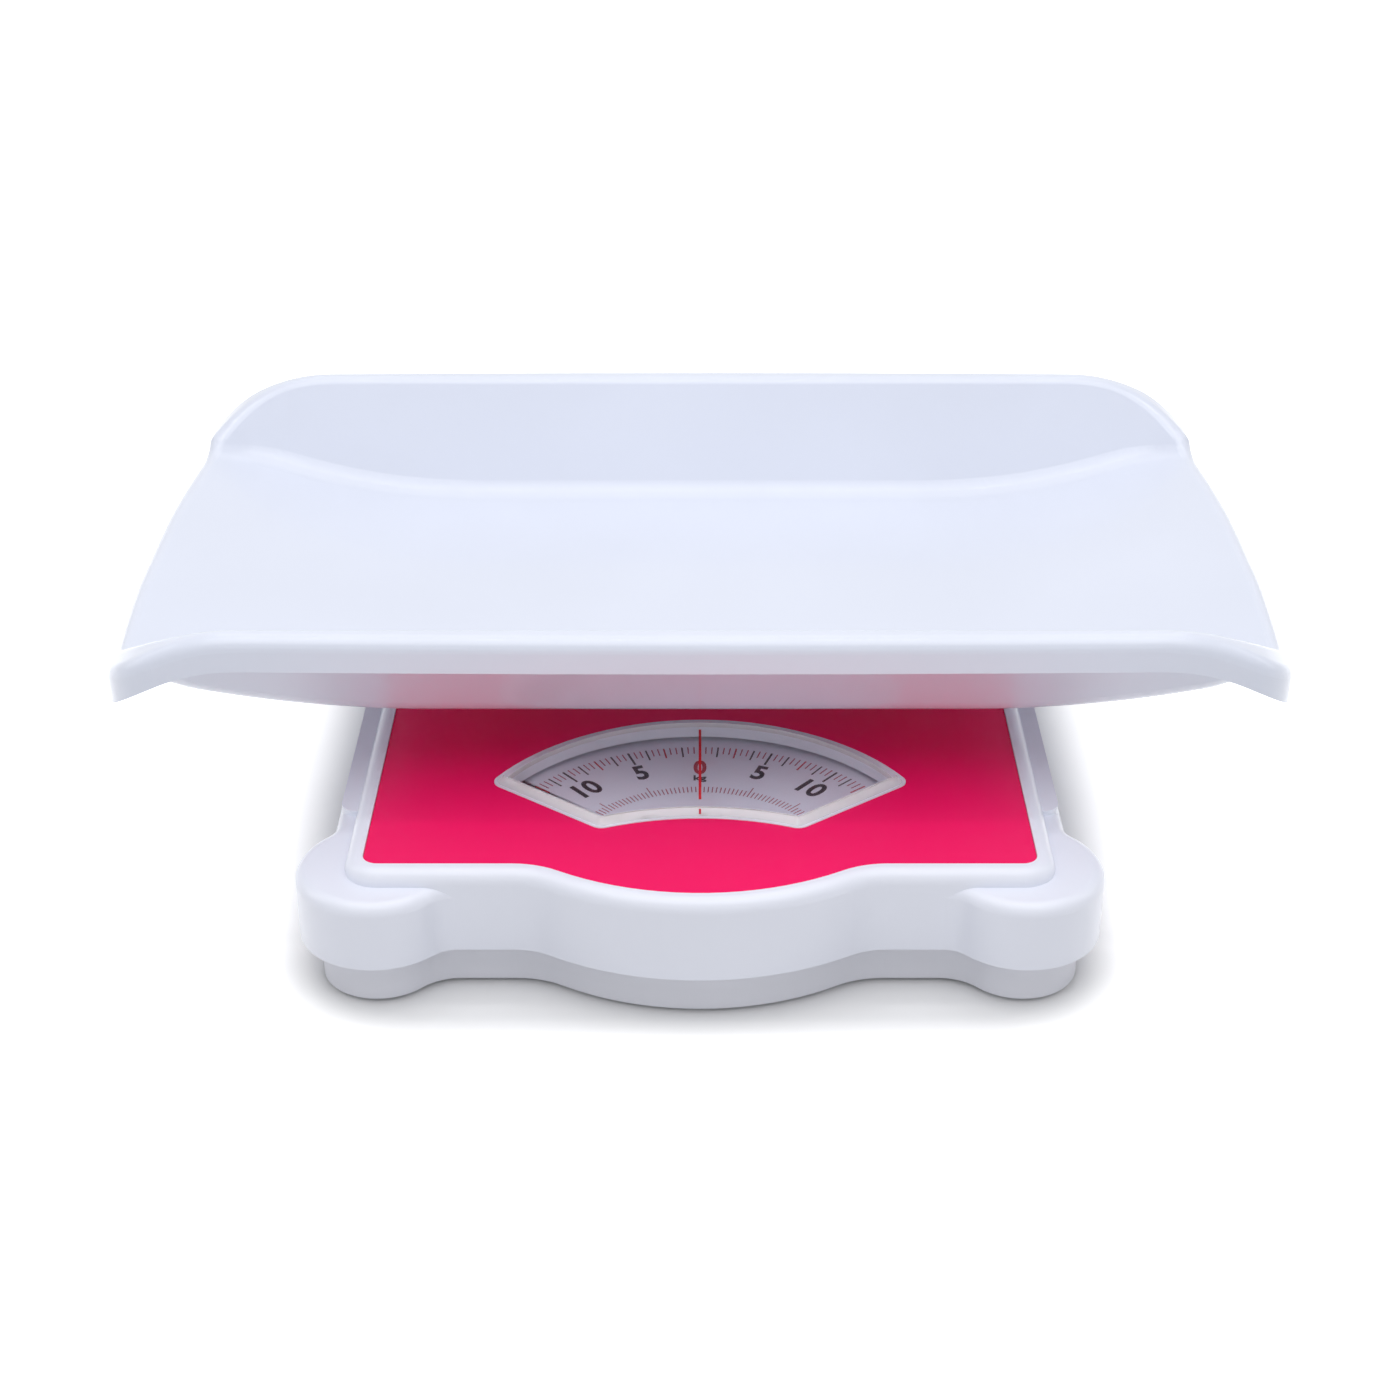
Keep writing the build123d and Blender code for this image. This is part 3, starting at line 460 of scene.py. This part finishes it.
@dataclass(frozen=True)
class ClearAcrylic(Finish):
    """Clear moulded acrylic, see-through on the flat; where it slopes, part of it is matt white, a painted
    reflection of bright light on the bevel.

    The levels are heights of the surface's unit normal: above the flat level the lens is fully
    clear, and below the steep level it keeps only the edge's share of that.
    """

    edge_clear: float = 0.4
    flat_level: float = 0.97
    steep_level: float = 0.6
    wipe_mm: float = 2.5
    wipe_layers: float = 3.0
    wipe_stretch: tuple[float, float, float] = (1.0, 0.12, 1.0)
    wipe_share: float = 0.5
    ior: float = 1.49
    specular_level: float = 0.2

    def build(self) -> bpy.types.Material:
        """Make the material.

        Returns:
            Glass-like plastic with faint wiping marks, which lets lamp light through.
        """
        pattern = self.start()
        tree, shader = pattern.tree, pattern.shader
        wipes = pattern.noise(self.wipe_mm, self.wipe_layers, self.wipe_stretch)
        low, high = (self.roughness * (1 + way * self.wipe_share) for way in (-1, 1))
        pattern.gloss(wipes, low, high)
        # The steeper the surface, the less light passes and the more of its white colour shows: painted reflection
        # on the bevel
        normal = add_node(tree, "ShaderNodeNewGeometry").outputs["Normal"]
        facing = add_node(tree, "ShaderNodeSeparateXYZ", {"Vector": normal})
        level = add_node(tree, "ShaderNodeMath", {0: facing.outputs["Z"]}, operation="ABSOLUTE")
        clear = add_node(tree, "ShaderNodeMapRange", {
            "Value": level.outputs[0], "From Min": self.steep_level, "From Max": self.flat_level,
            "To Min": self.edge_clear, "To Max": 1.0})
        tree.links.new(clear.outputs[0], shader.inputs["Transmission Weight"])
        pattern.set(IOR=self.ior, Specular_IOR_Level=self.specular_level)
        lit = ray_is(tree, ("Is Shadow Ray", "Is Diffuse Ray"))
        open_way = add_node(tree, "ShaderNodeBsdfTransparent", {"Color": WHITE})
        glass = mix_shaders(tree, lit, shader, open_way)
        tree.links.new(glass.outputs[0], tree.nodes["surface"].inputs["Surface"])
        return pattern.material


@dataclass(frozen=True)
class BareSteel(Finish):
    """Bright steel with the fine lines of its rolling, drawing or turning.

    The real lines are about 0.1 mm apart. They are drawn coarser, so that they show.
    """

    lines: Lines = Lines.SIDE_TO_SIDE
    line_mm: float = 0.5
    line_layers: float = 2.0
    line_depth_mm: float = 0.01
    drift: Drift = Drift(size_mm=12.0, tint=0.12, gloss=0.06)

    def build(self) -> bpy.types.Material:
        """Make the material.

        Returns:
            Metal with long fine lines and a cloudy gloss.
        """
        pattern = self.start()
        self.vary(pattern, self.drift)
        height = pattern.noise(self.line_mm, self.line_layers, self.lines.value)
        pattern.emboss(height, self.line_depth_mm)
        pattern.set(Metallic=1.0)
        return pattern.material


@dataclass(frozen=True)
class MouldedRubber(Finish):
    """Pressed black rubber, dull with a fine grain and a trace of dust.

    The real grain is about 0.2 mm across. It is drawn coarser, so that it shows.
    """

    grain_mm: float = 0.7
    grain_layers: float = 3.0
    grain_depth_mm: float = 0.04
    ior: float = 1.52
    drift: Drift = Drift(size_mm=8.0, tint=0.3, gloss=0.05)

    def build(self) -> bpy.types.Material:
        """Make the material.

        Returns:
            Dull black with a grainy skin.
        """
        pattern = self.start()
        self.vary(pattern, self.drift)
        pattern.emboss(pattern.noise(self.grain_mm, self.grain_layers), self.grain_depth_mm)
        pattern.set(IOR=self.ior)
        return pattern.material


# Each finish below starts with its name, its colour and its roughness.

# White ABS from a polished mould: gives the tray its soft gloss and bright lines along its rims
TRAY_ABS = MouldedPlastic("white_abs_polished_mould", "#E3E8F6", 0.31, clear_coat=0.5)
# Whiter ABS from a satin mould: gives the base's walls a softer sheen that shows their waves
HOUSING_ABS = MouldedPlastic("white_abs_satin_mould", "#EFF2FD", 0.34, Mould.SATIN, clear_coat=0.25)
# Nearly the same white without a glossy skin: gives the pan below the seam its flatter tone
PAN_ABS = MouldedPlastic("pale_grey_abs_satin_mould", "#F0F1F9", 0.34, Mould.SATIN)
# ABS from a spark-eroded mould: gives the cradle the dull grain of a part that the tray hides
CRADLE_ABS = MouldedPlastic("white_abs_spark_eroded_mould", "#E3E5EE", 0.45, Mould.SPARK)
# Crimson ink behind polyester: gives the panel its deep even colour under a quiet gloss
LABEL_FILM = PrintedFilm("crimson_back_printed_polyester", "#FF0A66", 0.31)
# White styrene, printed matt: gives the dial a paper-like face that doesn't glare under the lens
DIAL_SHEET = PrintedFilm("white_screen_printed_styrene", "#EEF2FF", 0.5, mottle_mm=0.5)
# Black ink: gives the numbers, the unit and most of the long marks their sharp contrast
BLACK_INK = ScreenInk("black_screen_ink", "#060608", 0.5)
# Red ink: gives the zero, the half marks and the pointer's tail a red near the pointer's
RED_INK = ScreenInk("red_screen_ink", "#C4122B", 0.5)
# Thinly printed red ink: gives the short marks and the inner ring a paler red
FINE_INK = ScreenInk("thin_red_screen_ink", "#AB3850", 0.5)
# Clear acrylic: shows the dial through the flat; its bevel is partly matt white, a painted reflection of white
# light
LENS_ACRYLIC = ClearAcrylic("clear_moulded_acrylic", "#FFFFFF", 0.03)
# Red styrene: gives the pointer one clean line across the dial
POINTER_PLASTIC = MouldedPlastic("red_moulded_styrene", "#F0121C", 0.35)
# Pressed zinc-plated sheet: gives levers, plate and crank pale lines from side to side
LEVER_STEEL = BareSteel("pressed_zinc_plated_steel", "#B9BABD", 0.36, Lines.SIDE_TO_SIDE)
# Bent zinc-plated sheet: gives brackets, bridge and rails a duller grey with lines front to back
BRACKET_STEEL = BareSteel("bent_zinc_plated_steel", "#A9ABB0", 0.36, Lines.FRONT_TO_BACK)
# Drawn wire: gives the spring its dark grey with short upright lines
SPRING_STEEL = BareSteel("drawn_spring_steel", "#6F7176", 0.36, Lines.UPRIGHT_SHORT)
# Turned steel: gives the shaft and the screws a brighter gloss than the sheet metal
SHAFT_STEEL = BareSteel("turned_steel", "#C4C5C8", 0.2, Lines.UPRIGHT_LONG)
# Acetal without pigment: gives the rack, its guides, the pinion, the dial's post and the nut
# a waxy cream white
ACETAL = MouldedPlastic("natural_moulded_acetal", "#E4E2DA", 0.4, Mould.SATIN)
# Black polypropylene: gives the zero wheel a dull grip against the white base
WHEEL_PLASTIC = MouldedPlastic("black_moulded_polypropylene", "#222326", 0.45, Mould.SPARK)
# Black rubber: gives the feet's pads a face that takes no highlight
FOOT_RUBBER = MouldedRubber("black_pressed_rubber", "#1B1B1C", 0.7)

# Finishes by the record's material slots
SLOT_FINISHES: dict[str, Finish] = {
    "tray_shell": TRAY_ABS,
    "housing_shell": HOUSING_ABS,
    "pan_shell": PAN_ABS,
    "label_sheet": LABEL_FILM,
    "lens_clear": LENS_ACRYLIC,
    "pointer_red": POINTER_PLASTIC,
    "dial_sheet": DIAL_SHEET,
    "cradle_shell": CRADLE_ABS,
    "foot_rubber": FOOT_RUBBER,
    "lever_steel": LEVER_STEEL,
    "bracket_steel": BRACKET_STEEL,
    "spring_steel": SPRING_STEEL,
    "acetal": ACETAL,
    "shaft_steel": SHAFT_STEEL,
    "wheel_plastic": WHEEL_PLASTIC,
}


@dataclass
class Workshop:
    """Makes each finish once, dresses parts in it and adds pieces."""

    made: dict[str, bpy.types.Material] = field(default_factory=dict)
    dressed: set[str] = field(default_factory=set)
    slots: dict[str, str] = field(init=False)

    def __post_init__(self) -> None:
        """Read from the record which slot each part has."""
        self.slots = {part["node"]: part["material_slot"] for part in frame["record"]["subparts"]}

    def material(self, finish: Finish) -> bpy.types.Material:
        """Give a finish's material, made on first use.

        Args:
            finish: Finish that is wanted.

        Returns:
            Its material.
        """
        if finish.name not in self.made:
            self.made[finish.name] = finish.build()
        return self.made[finish.name]

    def dress(self, name: str) -> None:
        """Give a CAD part the finish of its slot.

        Args:
            name: Name of the part's node.
        """
        mesh = frame["nodes"][name].data
        mesh.materials.clear()
        mesh.materials.append(self.material(SLOT_FINISHES[self.slots[name]]))
        self.dressed.add(name)
        LOG.info("part %s: %s", name, mesh.materials[0].name)

    def add_piece(
        self, name: str, mesh: bpy.types.Mesh, finish: Finish, body: Body, slot: str
    ) -> None:
        """Put a mesh into the scene as a piece that rides on a body.

        Args:
            name: Name of the piece.
            mesh: Its mesh, in the frame's coordinates.
            finish: What it is made of.
            body: CAD body that it moves with.
            slot: Record slot that it belongs to; not used.
        """
        mesh.name = name
        mesh.materials.clear()
        mesh.materials.append(self.material(finish))
        piece = add_object(name, mesh)
        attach(piece, body.value)
        LOG.info("piece %s: %d faces on %s", name, len(mesh.polygons), body.value)


@dataclass
class Assembly:
    """Parts that are put together as one unit of the scale."""

    shop: Workshop
    parts: tuple[str, ...] = ()

    def build_pieces(self) -> None:
        """Build what the CAD parts leave out; most units need nothing."""

    def build(self) -> None:
        """Dress the unit's parts and add its own pieces."""
        for name in self.parts:
            self.shop.dress(name)
        self.build_pieces()


@dataclass
class Tray(Assembly):
    """Shell that the baby lies in, one moulding that lifts off its cradle."""

    parts: tuple[str, ...] = ("weighing_tray",)


@dataclass
class Platform(Assembly):
    """Cradle under the tray and the two rails that press on the levers."""

    parts: tuple[str, ...] = ("tray_cradle", "load_rail_left", "load_rail_right")


@dataclass
class Housing(Assembly):
    """Wavy upper shell of the base with the crimson panel in its top."""

    parts: tuple[str, ...] = ("upper_housing", "label_panel")


@dataclass
class DialWindow(Assembly):
    """Clear lens over the dial and the red pointer under it, in millimetres.

    The pointer shows again on the lens's front bevel, as a short tail below the end of the long
    line. The bevel rises from the lens's front edge, which lies ahead of the pointer's front end.
    """

    parts: tuple[str, ...] = ("window_lens", "pointer_line")
    tail_width: float = 1.1
    tail_length: float = 2.6
    tail_thick: float = 0.1
    bevel: float = 3.2
    bevel_slope_deg: float = 45.0
    edge_ahead: float = 12.0

    def build_pieces(self) -> None:
        """Lay the pointer's tail on the middle of the bevel."""
        low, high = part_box("pointer_line")
        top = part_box("window_lens")[1].z
        half = self.bevel / 2 * MM
        middle = Vector(
            ((low.x + high.x) / 2, low.y - self.edge_ahead * MM + half, top - half))
        tilt = Matrix.Rotation(math.radians(self.bevel_slope_deg), 4, "X")
        shape = bmesh.new()
        size = (self.tail_width, self.tail_length, self.tail_thick)
        add_block(shape, Matrix.Translation(middle) @ tilt, size)
        mesh = mesh_of_shape("pointer_tail", shape)
        self.shop.add_piece("pointer_tail", mesh, RED_INK, Body.PLATFORM, "pointer_red")


@dataclass
class Dial(Assembly):
    """Fan-shaped dial on its shaft, with its print.

    Radii and sizes are in millimetres, and angles in degrees round the pivot.
    """

    parts: tuple[str, ...] = ("dial_fan", "pinion", "dial_shaft")
    ink_thick: float = 0.05
    half_span_deg: float = 50.5
    number_step_deg: float = 20.2
    number_value: int = 5
    numbers_each_way: int = 2
    marks_per_number: int = 12
    marks_per_group: int = 3
    mark_top: float = 105.5
    number_radius: float = 85.5
    digit_height: float = 13.4
    digit_width: float = 6.5
    pair_width: float = 12.7
    unit_radius: float = 74.5
    unit_height: float = 6.6
    unit_width: float = 6.4
    inner_bottom: float = 61.5
    inner_short: float = 5.2
    inner_long: float = 9.0
    inner_step_deg: float = 1.83
    inner_group: int = 12
    inner_width: float = 0.5
    # How far the outlines of the text grow, how thick it is and how fine, before it is scaled
    boldness: float = 0.03
    word_depth: float = 0.01
    curve_steps: int = 6
    pivot: Vector = field(init=False)

    def __post_init__(self) -> None:
        """Take the pivot from the dial's joint and the sheet's height from its box."""
        spin = next(joint for joint in frame["joints"] if joint["name"] == "dial_spin")
        self.pivot = Vector((spin["pos_m"][0], spin["pos_m"][1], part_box("dial_fan")[1].z))

    def turned(self, angle_deg: float) -> Matrix:
        """Give the place of a mark.

        Args:
            angle_deg: Angle from the pointer, clockwise from above.

        Returns:
            Frame on the sheet at the pivot, whose +Y points outwards along the mark.
        """
        turn = Matrix.Rotation(-math.radians(angle_deg), 4, "Z")
        return Matrix.Translation(self.pivot) @ turn

    def add_line(
        self, shape: bmesh.types.BMesh, angle_deg: float, low: float, high: float, width: float
    ) -> None:
        """Add one printed line to a shape.

        Args:
            shape: Shape that takes the line.
            angle_deg: Angle from the pointer.
            low: Radius of its inner end.
            high: Radius of its outer end.
            width: Width of the line.
        """
        shift = Matrix.Translation((0, (low + high) / 2 * MM, self.ink_thick / 2 * MM))
        add_block(shape, self.turned(angle_deg) @ shift, (width, high - low, self.ink_thick))

    def mark_at(self, count: int) -> Mark:
        """Give the kind of an outer mark.

        Args:
            count: Number of marks between it and zero.

        Returns:
            The mark's kind.
        """
        if count % self.marks_per_number == 0:
            return Mark.MAIN
        if count % self.marks_per_group == 0:
            return Mark.HALF if count % (2 * self.marks_per_group) == 0 else Mark.LONG
        return Mark.SHORT

    def build_rings(self) -> None:
        """Print the outer and inner rings of marks, one mesh for each ink."""
        inks = {"black": BLACK_INK, "red": RED_INK, "fine": FINE_INK}
        shapes = {ink: bmesh.new() for ink in inks}
        step = self.number_step_deg / self.marks_per_number
        reach = int(self.half_span_deg / step)
        for count in range(-reach, reach + 1):
            length, width, ink = self.mark_at(count).value
            low = self.mark_top - length
            self.add_line(shapes[ink], count * step, low, self.mark_top, width)
        reach = int(self.half_span_deg / self.inner_step_deg)
        for count in range(-reach, reach + 1):
            long_one = count != 0 and count % self.inner_group == 0
            top = self.inner_bottom + (self.inner_long if long_one else self.inner_short)
            angle = count * self.inner_step_deg
            self.add_line(shapes["fine"], angle, self.inner_bottom, top, self.inner_width)
        for ink, shape in shapes.items():
            mesh = mesh_of_shape(ink, shape)
            self.shop.add_piece(f"dial_marks_{ink}", mesh, inks[ink], Body.DIAL, "dial_sheet")

    def print_word(
        self,
        name: str,
        word: str,
        angle_deg: float,
        radius: float,
        size: tuple[float, float],
        ink: Finish,
    ) -> None:
        """Print a number or the unit.

        Args:
            name: Name of the piece.
            word: Characters to print.
            angle_deg: Angle from the pointer.
            radius: Radius of its centre.
            size: Width and height of the whole word.
            ink: Ink that it is printed in.
        """
        text = bpy.data.curves.new(name, "FONT")
        text.body, text.offset = word, self.boldness
        text.extrude, text.resolution_u = self.word_depth, self.curve_steps
        mesh = mesh_of_curve(text)
        axes = list(zip(*(vertex.co for vertex in mesh.vertices)))
        low, high = Vector(map(min, axes)), Vector(map(max, axes))
        centre = Matrix.Translation((-(low.x + high.x) / 2, -(low.y + high.y) / 2, -low.z))
        wanted = Vector((*size, self.ink_thick)) * MM
        scale = Matrix.Diagonal((*(want / have for want, have in zip(wanted, high - low)), 1.0))
        out = Matrix.Translation((0, radius * MM, 0))
        mesh.transform(self.turned(angle_deg) @ out @ scale @ centre)
        self.shop.add_piece(name, mesh, ink, Body.DIAL, "dial_sheet")

    def build_pieces(self) -> None:
        """Print the marks, the numbers on both sides of zero and the unit."""
        self.build_rings()
        one = (self.digit_width, self.digit_height)
        two = (self.pair_width, self.digit_height)
        self.print_word("dial_number_0", "0", 0, self.number_radius, one, RED_INK)
        for side, way in (("left", -1), ("right", 1)):
            for count in range(1, self.numbers_each_way + 1):
                word = str(self.number_value * count)
                angle = way * count * self.number_step_deg
                size = one if len(word) == 1 else two
                name = f"dial_number_{word}_{side}"
                self.print_word(name, word, angle, self.number_radius, size, BLACK_INK)
        unit = (self.unit_width, self.unit_height)
        self.print_word("dial_unit", "kg", 0, self.unit_radius, unit, BLACK_INK)


@dataclass
class Base(Assembly):
    """Pan with its feet and everything fixed inside it, and the screws under its brackets.

    Sizes are in millimetres. The two screws of a bracket are turned by one angle, each its own way.
    """

    parts: tuple[str, ...] = (
        "base_pan", "foot_front_left", "foot_front_right", "foot_rear_left", "foot_rear_right",
        "fulcrum_bracket_front_left", "fulcrum_bracket_front_right",
        "fulcrum_bracket_rear_left", "fulcrum_bracket_rear_right",
        "spring_bridge", "crank_bracket", "dial_post", "rack_guide_front", "rack_guide_rear")
    head_radius: float = 3.1
    head_height: float = 1.1
    head_round: float = 0.4
    head_sides: int = 32
    round_steps: int = 2
    cross_reach: float = 1.7
    cross_half: float = 0.5
    cross_floor: float = 0.1
    screw_spread: float = 6.5
    screw_turn_rad: float = 0.4

    def head_outlines(self) -> tuple[list[Vector], list[Vector]]:
        """Draw a screw head from above.

        Returns:
            The circle that its rounding starts from, and the cross recess.
        """
        radius = self.head_radius - self.head_round
        steps = [2 * math.pi * i / self.head_sides for i in range(self.head_sides)]
        circle = [Vector((radius * math.cos(a), radius * math.sin(a))) for a in steps]
        reach, half = self.cross_reach, self.cross_half
        arm = [Vector((reach, -half)), Vector((reach, half)), Vector((half, half))]
        cross = [Matrix.Rotation(i * math.pi / 2, 2) @ corner for i in range(4) for corner in arm]
        return circle, cross

    def head_mesh(self) -> bpy.types.Mesh:
        """Make a screw head with its cross recess.

        Returns:
            Mesh that faces +Z with its seat at Z = 0.
        """
        curve = bpy.data.curves.new("screw_head", "CURVE")
        curve.dimensions, curve.fill_mode = "2D", "BOTH"
        curve.extrude = (self.head_height / 2 - self.head_round) * MM
        curve.bevel_depth, curve.bevel_resolution = self.head_round * MM, self.round_steps
        for outline in self.head_outlines():
            spline = curve.splines.new("POLY")
            spline.points.add(len(outline) - 1)
            for point, corner in zip(spline.points, outline):
                point.co = (corner.x * MM, corner.y * MM, 0, 1)
            spline.use_cyclic_u = True
        ring = mesh_of_curve(curve)
        ring.transform(Matrix.Translation((0, 0, self.head_height / 2 * MM)))
        shape = bmesh.new()
        shape.from_mesh(ring)
        bpy.data.meshes.remove(ring)
        radius = (self.head_radius - self.head_round) * MM
        disc = bmesh.ops.create_circle(
            shape, cap_ends=True, radius=radius, segments=self.head_sides)
        bmesh.ops.translate(shape, verts=disc["verts"], vec=(0, 0, self.cross_floor * MM))
        return mesh_of_shape("screw_head", shape)

    def build_pieces(self) -> None:
        """Put two screws under each fulcrum bracket, heads against the pan's underside."""
        pan_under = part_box("base_pan")[0].z
        head = self.head_mesh()
        flip = Matrix.Rotation(math.pi, 4, "X")
        for corner in ("front_left", "front_right", "rear_left", "rear_right"):
            low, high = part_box(f"fulcrum_bracket_{corner}")
            centre = (low + high) / 2
            for place, step in (("a", -1), ("b", 1)):
                mesh = head.copy()
                turn = Matrix.Rotation(step * self.screw_turn_rad, 4, "Z")
                spot = (centre.x, centre.y + step * self.screw_spread * MM, pan_under)
                mesh.transform(Matrix.Translation(spot) @ (flip @ turn))
                name = f"bracket_screw_{corner}_{place}"
                self.shop.add_piece(name, mesh, SHAFT_STEEL, Body.BASE, "shaft_steel")
        bpy.data.meshes.remove(head)


@dataclass
class LeverTrain(Assembly):
    """Levers, spring, crank and rack that turn the tray's sinking into the dial's turning."""

    parts: tuple[str, ...] = (
        "long_lever_left", "long_lever_right", "short_lever_left", "short_lever_right",
        "calibrating_plate", "main_spring", "bell_crank", "rack_rod")


@dataclass
class ZeroKnob(Assembly):
    """Wheel at the back that sets the dial to zero, and the nut that it turns in."""

    parts: tuple[str, ...] = ("zero_nut", "zero_wheel")


@dataclass(frozen=True)
class Softbox:
    """One rectangular lamp that faces the object, in metres and watts."""

    name: str
    place: tuple[float, float, float]
    size: tuple[float, float]
    power: float
    aim: tuple[float, float, float] = (0.0, 0.0, 0.1)

    def build(self) -> None:
        """Hang the lamp."""
        lamp = bpy.data.lights.new(self.name, "AREA")
        lamp.shape, lamp.size, lamp.size_y, lamp.energy = "RECTANGLE", *self.size, self.power
        holder = add_object(self.name, lamp)
        holder.location = self.place
        look = Vector(self.aim) - Vector(self.place)
        holder.rotation_euler = look.to_track_quat("-Z", "Y").to_euler()
        LOG.info("lamp %s: %.1f W", self.name, self.power)


# Broad lamps for the photograph's even light, and a narrow one for bright lines along the rims,
# each with its name, place, size and power
SOFTBOXES = (
    Softbox("softbox_key", (0.0, -0.6, 1.5), (1.8, 1.1), 9.0),
    Softbox("softbox_front", (0.0, -1.9, 0.75), (2.0, 0.6), 2.4),
    Softbox("softbox_top", (0.0, 0.75, 1.5), (1.6, 1.0), 4.0),
    Softbox("softbox_strip", (0.0, 0.0, 1.5), (1.6, 0.07), 2.6),
    Softbox("softbox_left", (-1.5, 0.1, 0.9), (0.5, 1.2), 2.0),
    Softbox("softbox_right", (1.5, 0.1, 0.9), (0.5, 1.2), 2.0),
)


@dataclass(frozen=True)
class Studio:
    """White floor and backdrop, soft lamps and the camera of the photograph, in metres.

    The floor lies a little under the feet, so that no two faces share one place.
    """

    floor_half: float = 6.0
    floor_z: float = -0.0002
    floor_glow: float = 0.85
    glow_inset: float = 0.06
    glow_start: float = 0.05
    glow_end: float = 0.1
    board_colour: str = "#F8F8F8"
    bounce_colour: str = "#D2D2D2"
    sky: float = 0.48
    sky_colour: str = "#F6F7FB"
    lens_mm: float = 61.84
    sensor_mm: float = 36.0
    camera_place: tuple[float, float, float] = (0.0, -1.1117, 0.6705)
    elevation_deg: float = 29.0

    def glow(self, tree: bpy.types.NodeTree) -> bpy.types.NodeSocket:
        """Make the floor glow more with the distance from the base, so its shadow stays close. Near the base the
        floor gets no glow, so it is darker there by painted shade as well as by its real shadow.

        Args:
            tree: Node tree that takes the nodes.

        Returns:
            Socket that gives the glow's strength.
        """
        low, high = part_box("upper_housing")
        inset = Vector((self.glow_inset, self.glow_inset, 0))
        # How far a point of the floor lies outside the base's inset box, with heights left out
        steps = (
            ("SUBTRACT", (low + high) / 2), ("ABSOLUTE", None),
            ("SUBTRACT", (high - low) / 2 - inset), ("MAXIMUM", Vector()),
            ("MULTIPLY", Vector((1, 1, 0))))
        place = add_node(tree, "ShaderNodeTexCoord").outputs["Object"]
        for work, value in steps:
            inputs = {0: place} if value is None else {0: place, 1: tuple(value)}
            place = add_node(tree, "ShaderNodeVectorMath", inputs, operation=work).outputs[0]
        away = add_node(tree, "ShaderNodeVectorMath", {0: place}, operation="LENGTH")
        # No glow near the base and full glow a few centimetres out: painted shade around the base
        inputs = {
            "Value": away.outputs["Value"], "From Min": self.glow_start,
            "From Max": self.glow_end, "To Min": 0.0, "To Max": self.floor_glow}
        rise = add_node(tree, "ShaderNodeMapRange", inputs, interpolation_type="SMOOTHSTEP")
        return rise.outputs[0]

    def board(self) -> bpy.types.Material:
        """Make the floor's material.

        Returns:
            Board that is white where it is seen, duller to the rays that light other things, and
            see-through from below, so that it doesn't hide the scale's underside.
        """
        material = bpy.data.materials.new("matt_white_backdrop_board")
        tree = empty_tree(material)
        dull = add_node(tree, "ShaderNodeBsdfDiffuse", {"Color": srgb(self.bounce_colour)})
        matt = add_node(tree, "ShaderNodeBsdfDiffuse", {"Color": srgb(self.board_colour)})
        glow = add_node(tree, "ShaderNodeEmission", {"Color": WHITE, "Strength": self.glow(tree)})
        lit = add_node(tree, "ShaderNodeAddShader", {0: matt.outputs[0], 1: glow.outputs[0]})
        upper = mix_shaders(tree, ray_is(tree, SEEN_RAYS), dull, lit)
        under = add_node(tree, "ShaderNodeNewGeometry").outputs["Backfacing"]
        open_way = add_node(tree, "ShaderNodeBsdfTransparent", {"Color": WHITE})
        surface = mix_shaders(tree, under, upper, open_way)
        add_node(tree, "ShaderNodeOutputMaterial", {"Surface": surface.outputs[0]})
        return material

    def build_floor(self) -> None:
        """Lay the floor."""
        mesh = bpy.data.meshes.new("floor")
        half = self.floor_half
        corners = ((-half, -half), (half, -half), (half, half), (-half, half))
        mesh.from_pydata([(x, y, self.floor_z) for x, y in corners], [], [(0, 1, 2, 3)])
        mesh.materials.append(self.board())
        add_object("floor", mesh)

    def build_sky(self) -> None:
        """Surround the scene with soft light that looks white where it is seen."""
        world = bpy.data.worlds.new("studio")
        bpy.context.scene.world = world
        tree = empty_tree(world)
        light = {"Color": srgb(self.sky_colour), "Strength": self.sky}
        soft = add_node(tree, "ShaderNodeBackground", light)
        white = add_node(tree, "ShaderNodeBackground", {"Color": WHITE, "Strength": 1.0})
        sky = mix_shaders(tree, ray_is(tree, SEEN_RAYS), soft, white)
        add_node(tree, "ShaderNodeOutputWorld", {"Surface": sky.outputs[0]})

    def build_camera(self) -> None:
        """Set the camera where the photograph was taken from."""
        camera = bpy.data.cameras.new("camera")
        camera.lens, camera.sensor_width = self.lens_mm, self.sensor_mm
        holder = add_object("camera", camera)
        holder.location = self.camera_place
        holder.rotation_euler = (math.radians(90 - self.elevation_deg), 0, 0)
        bpy.context.scene.camera = holder

    def build(self) -> None:
        """Build the whole studio."""
        bpy.context.scene.view_settings.view_transform = "Standard"
        self.build_floor()
        self.build_sky()
        self.build_camera()
        for softbox in SOFTBOXES:
            softbox.build()


def main() -> None:
    """Dress and complete every unit from the tray down, then set the studio.

    Raises:
        ValueError: If a CAD part belongs to no unit and would stay bare.
    """
    logging.basicConfig(level=logging.INFO, format="%(name)s: %(message)s")
    shop = Workshop()
    for unit in (Tray, Platform, Housing, DialWindow, Dial, Base, LeverTrain, ZeroKnob):
        LOG.info("unit %s", unit.__name__)
        unit(shop).build()
    bare = set(frame["nodes"]) - shop.dressed
    if bare:
        raise ValueError(f"parts without a finish: {sorted(bare)}")
    Studio().build()
    bpy.context.view_layer.update()


if __name__ == "__main__":
    main()
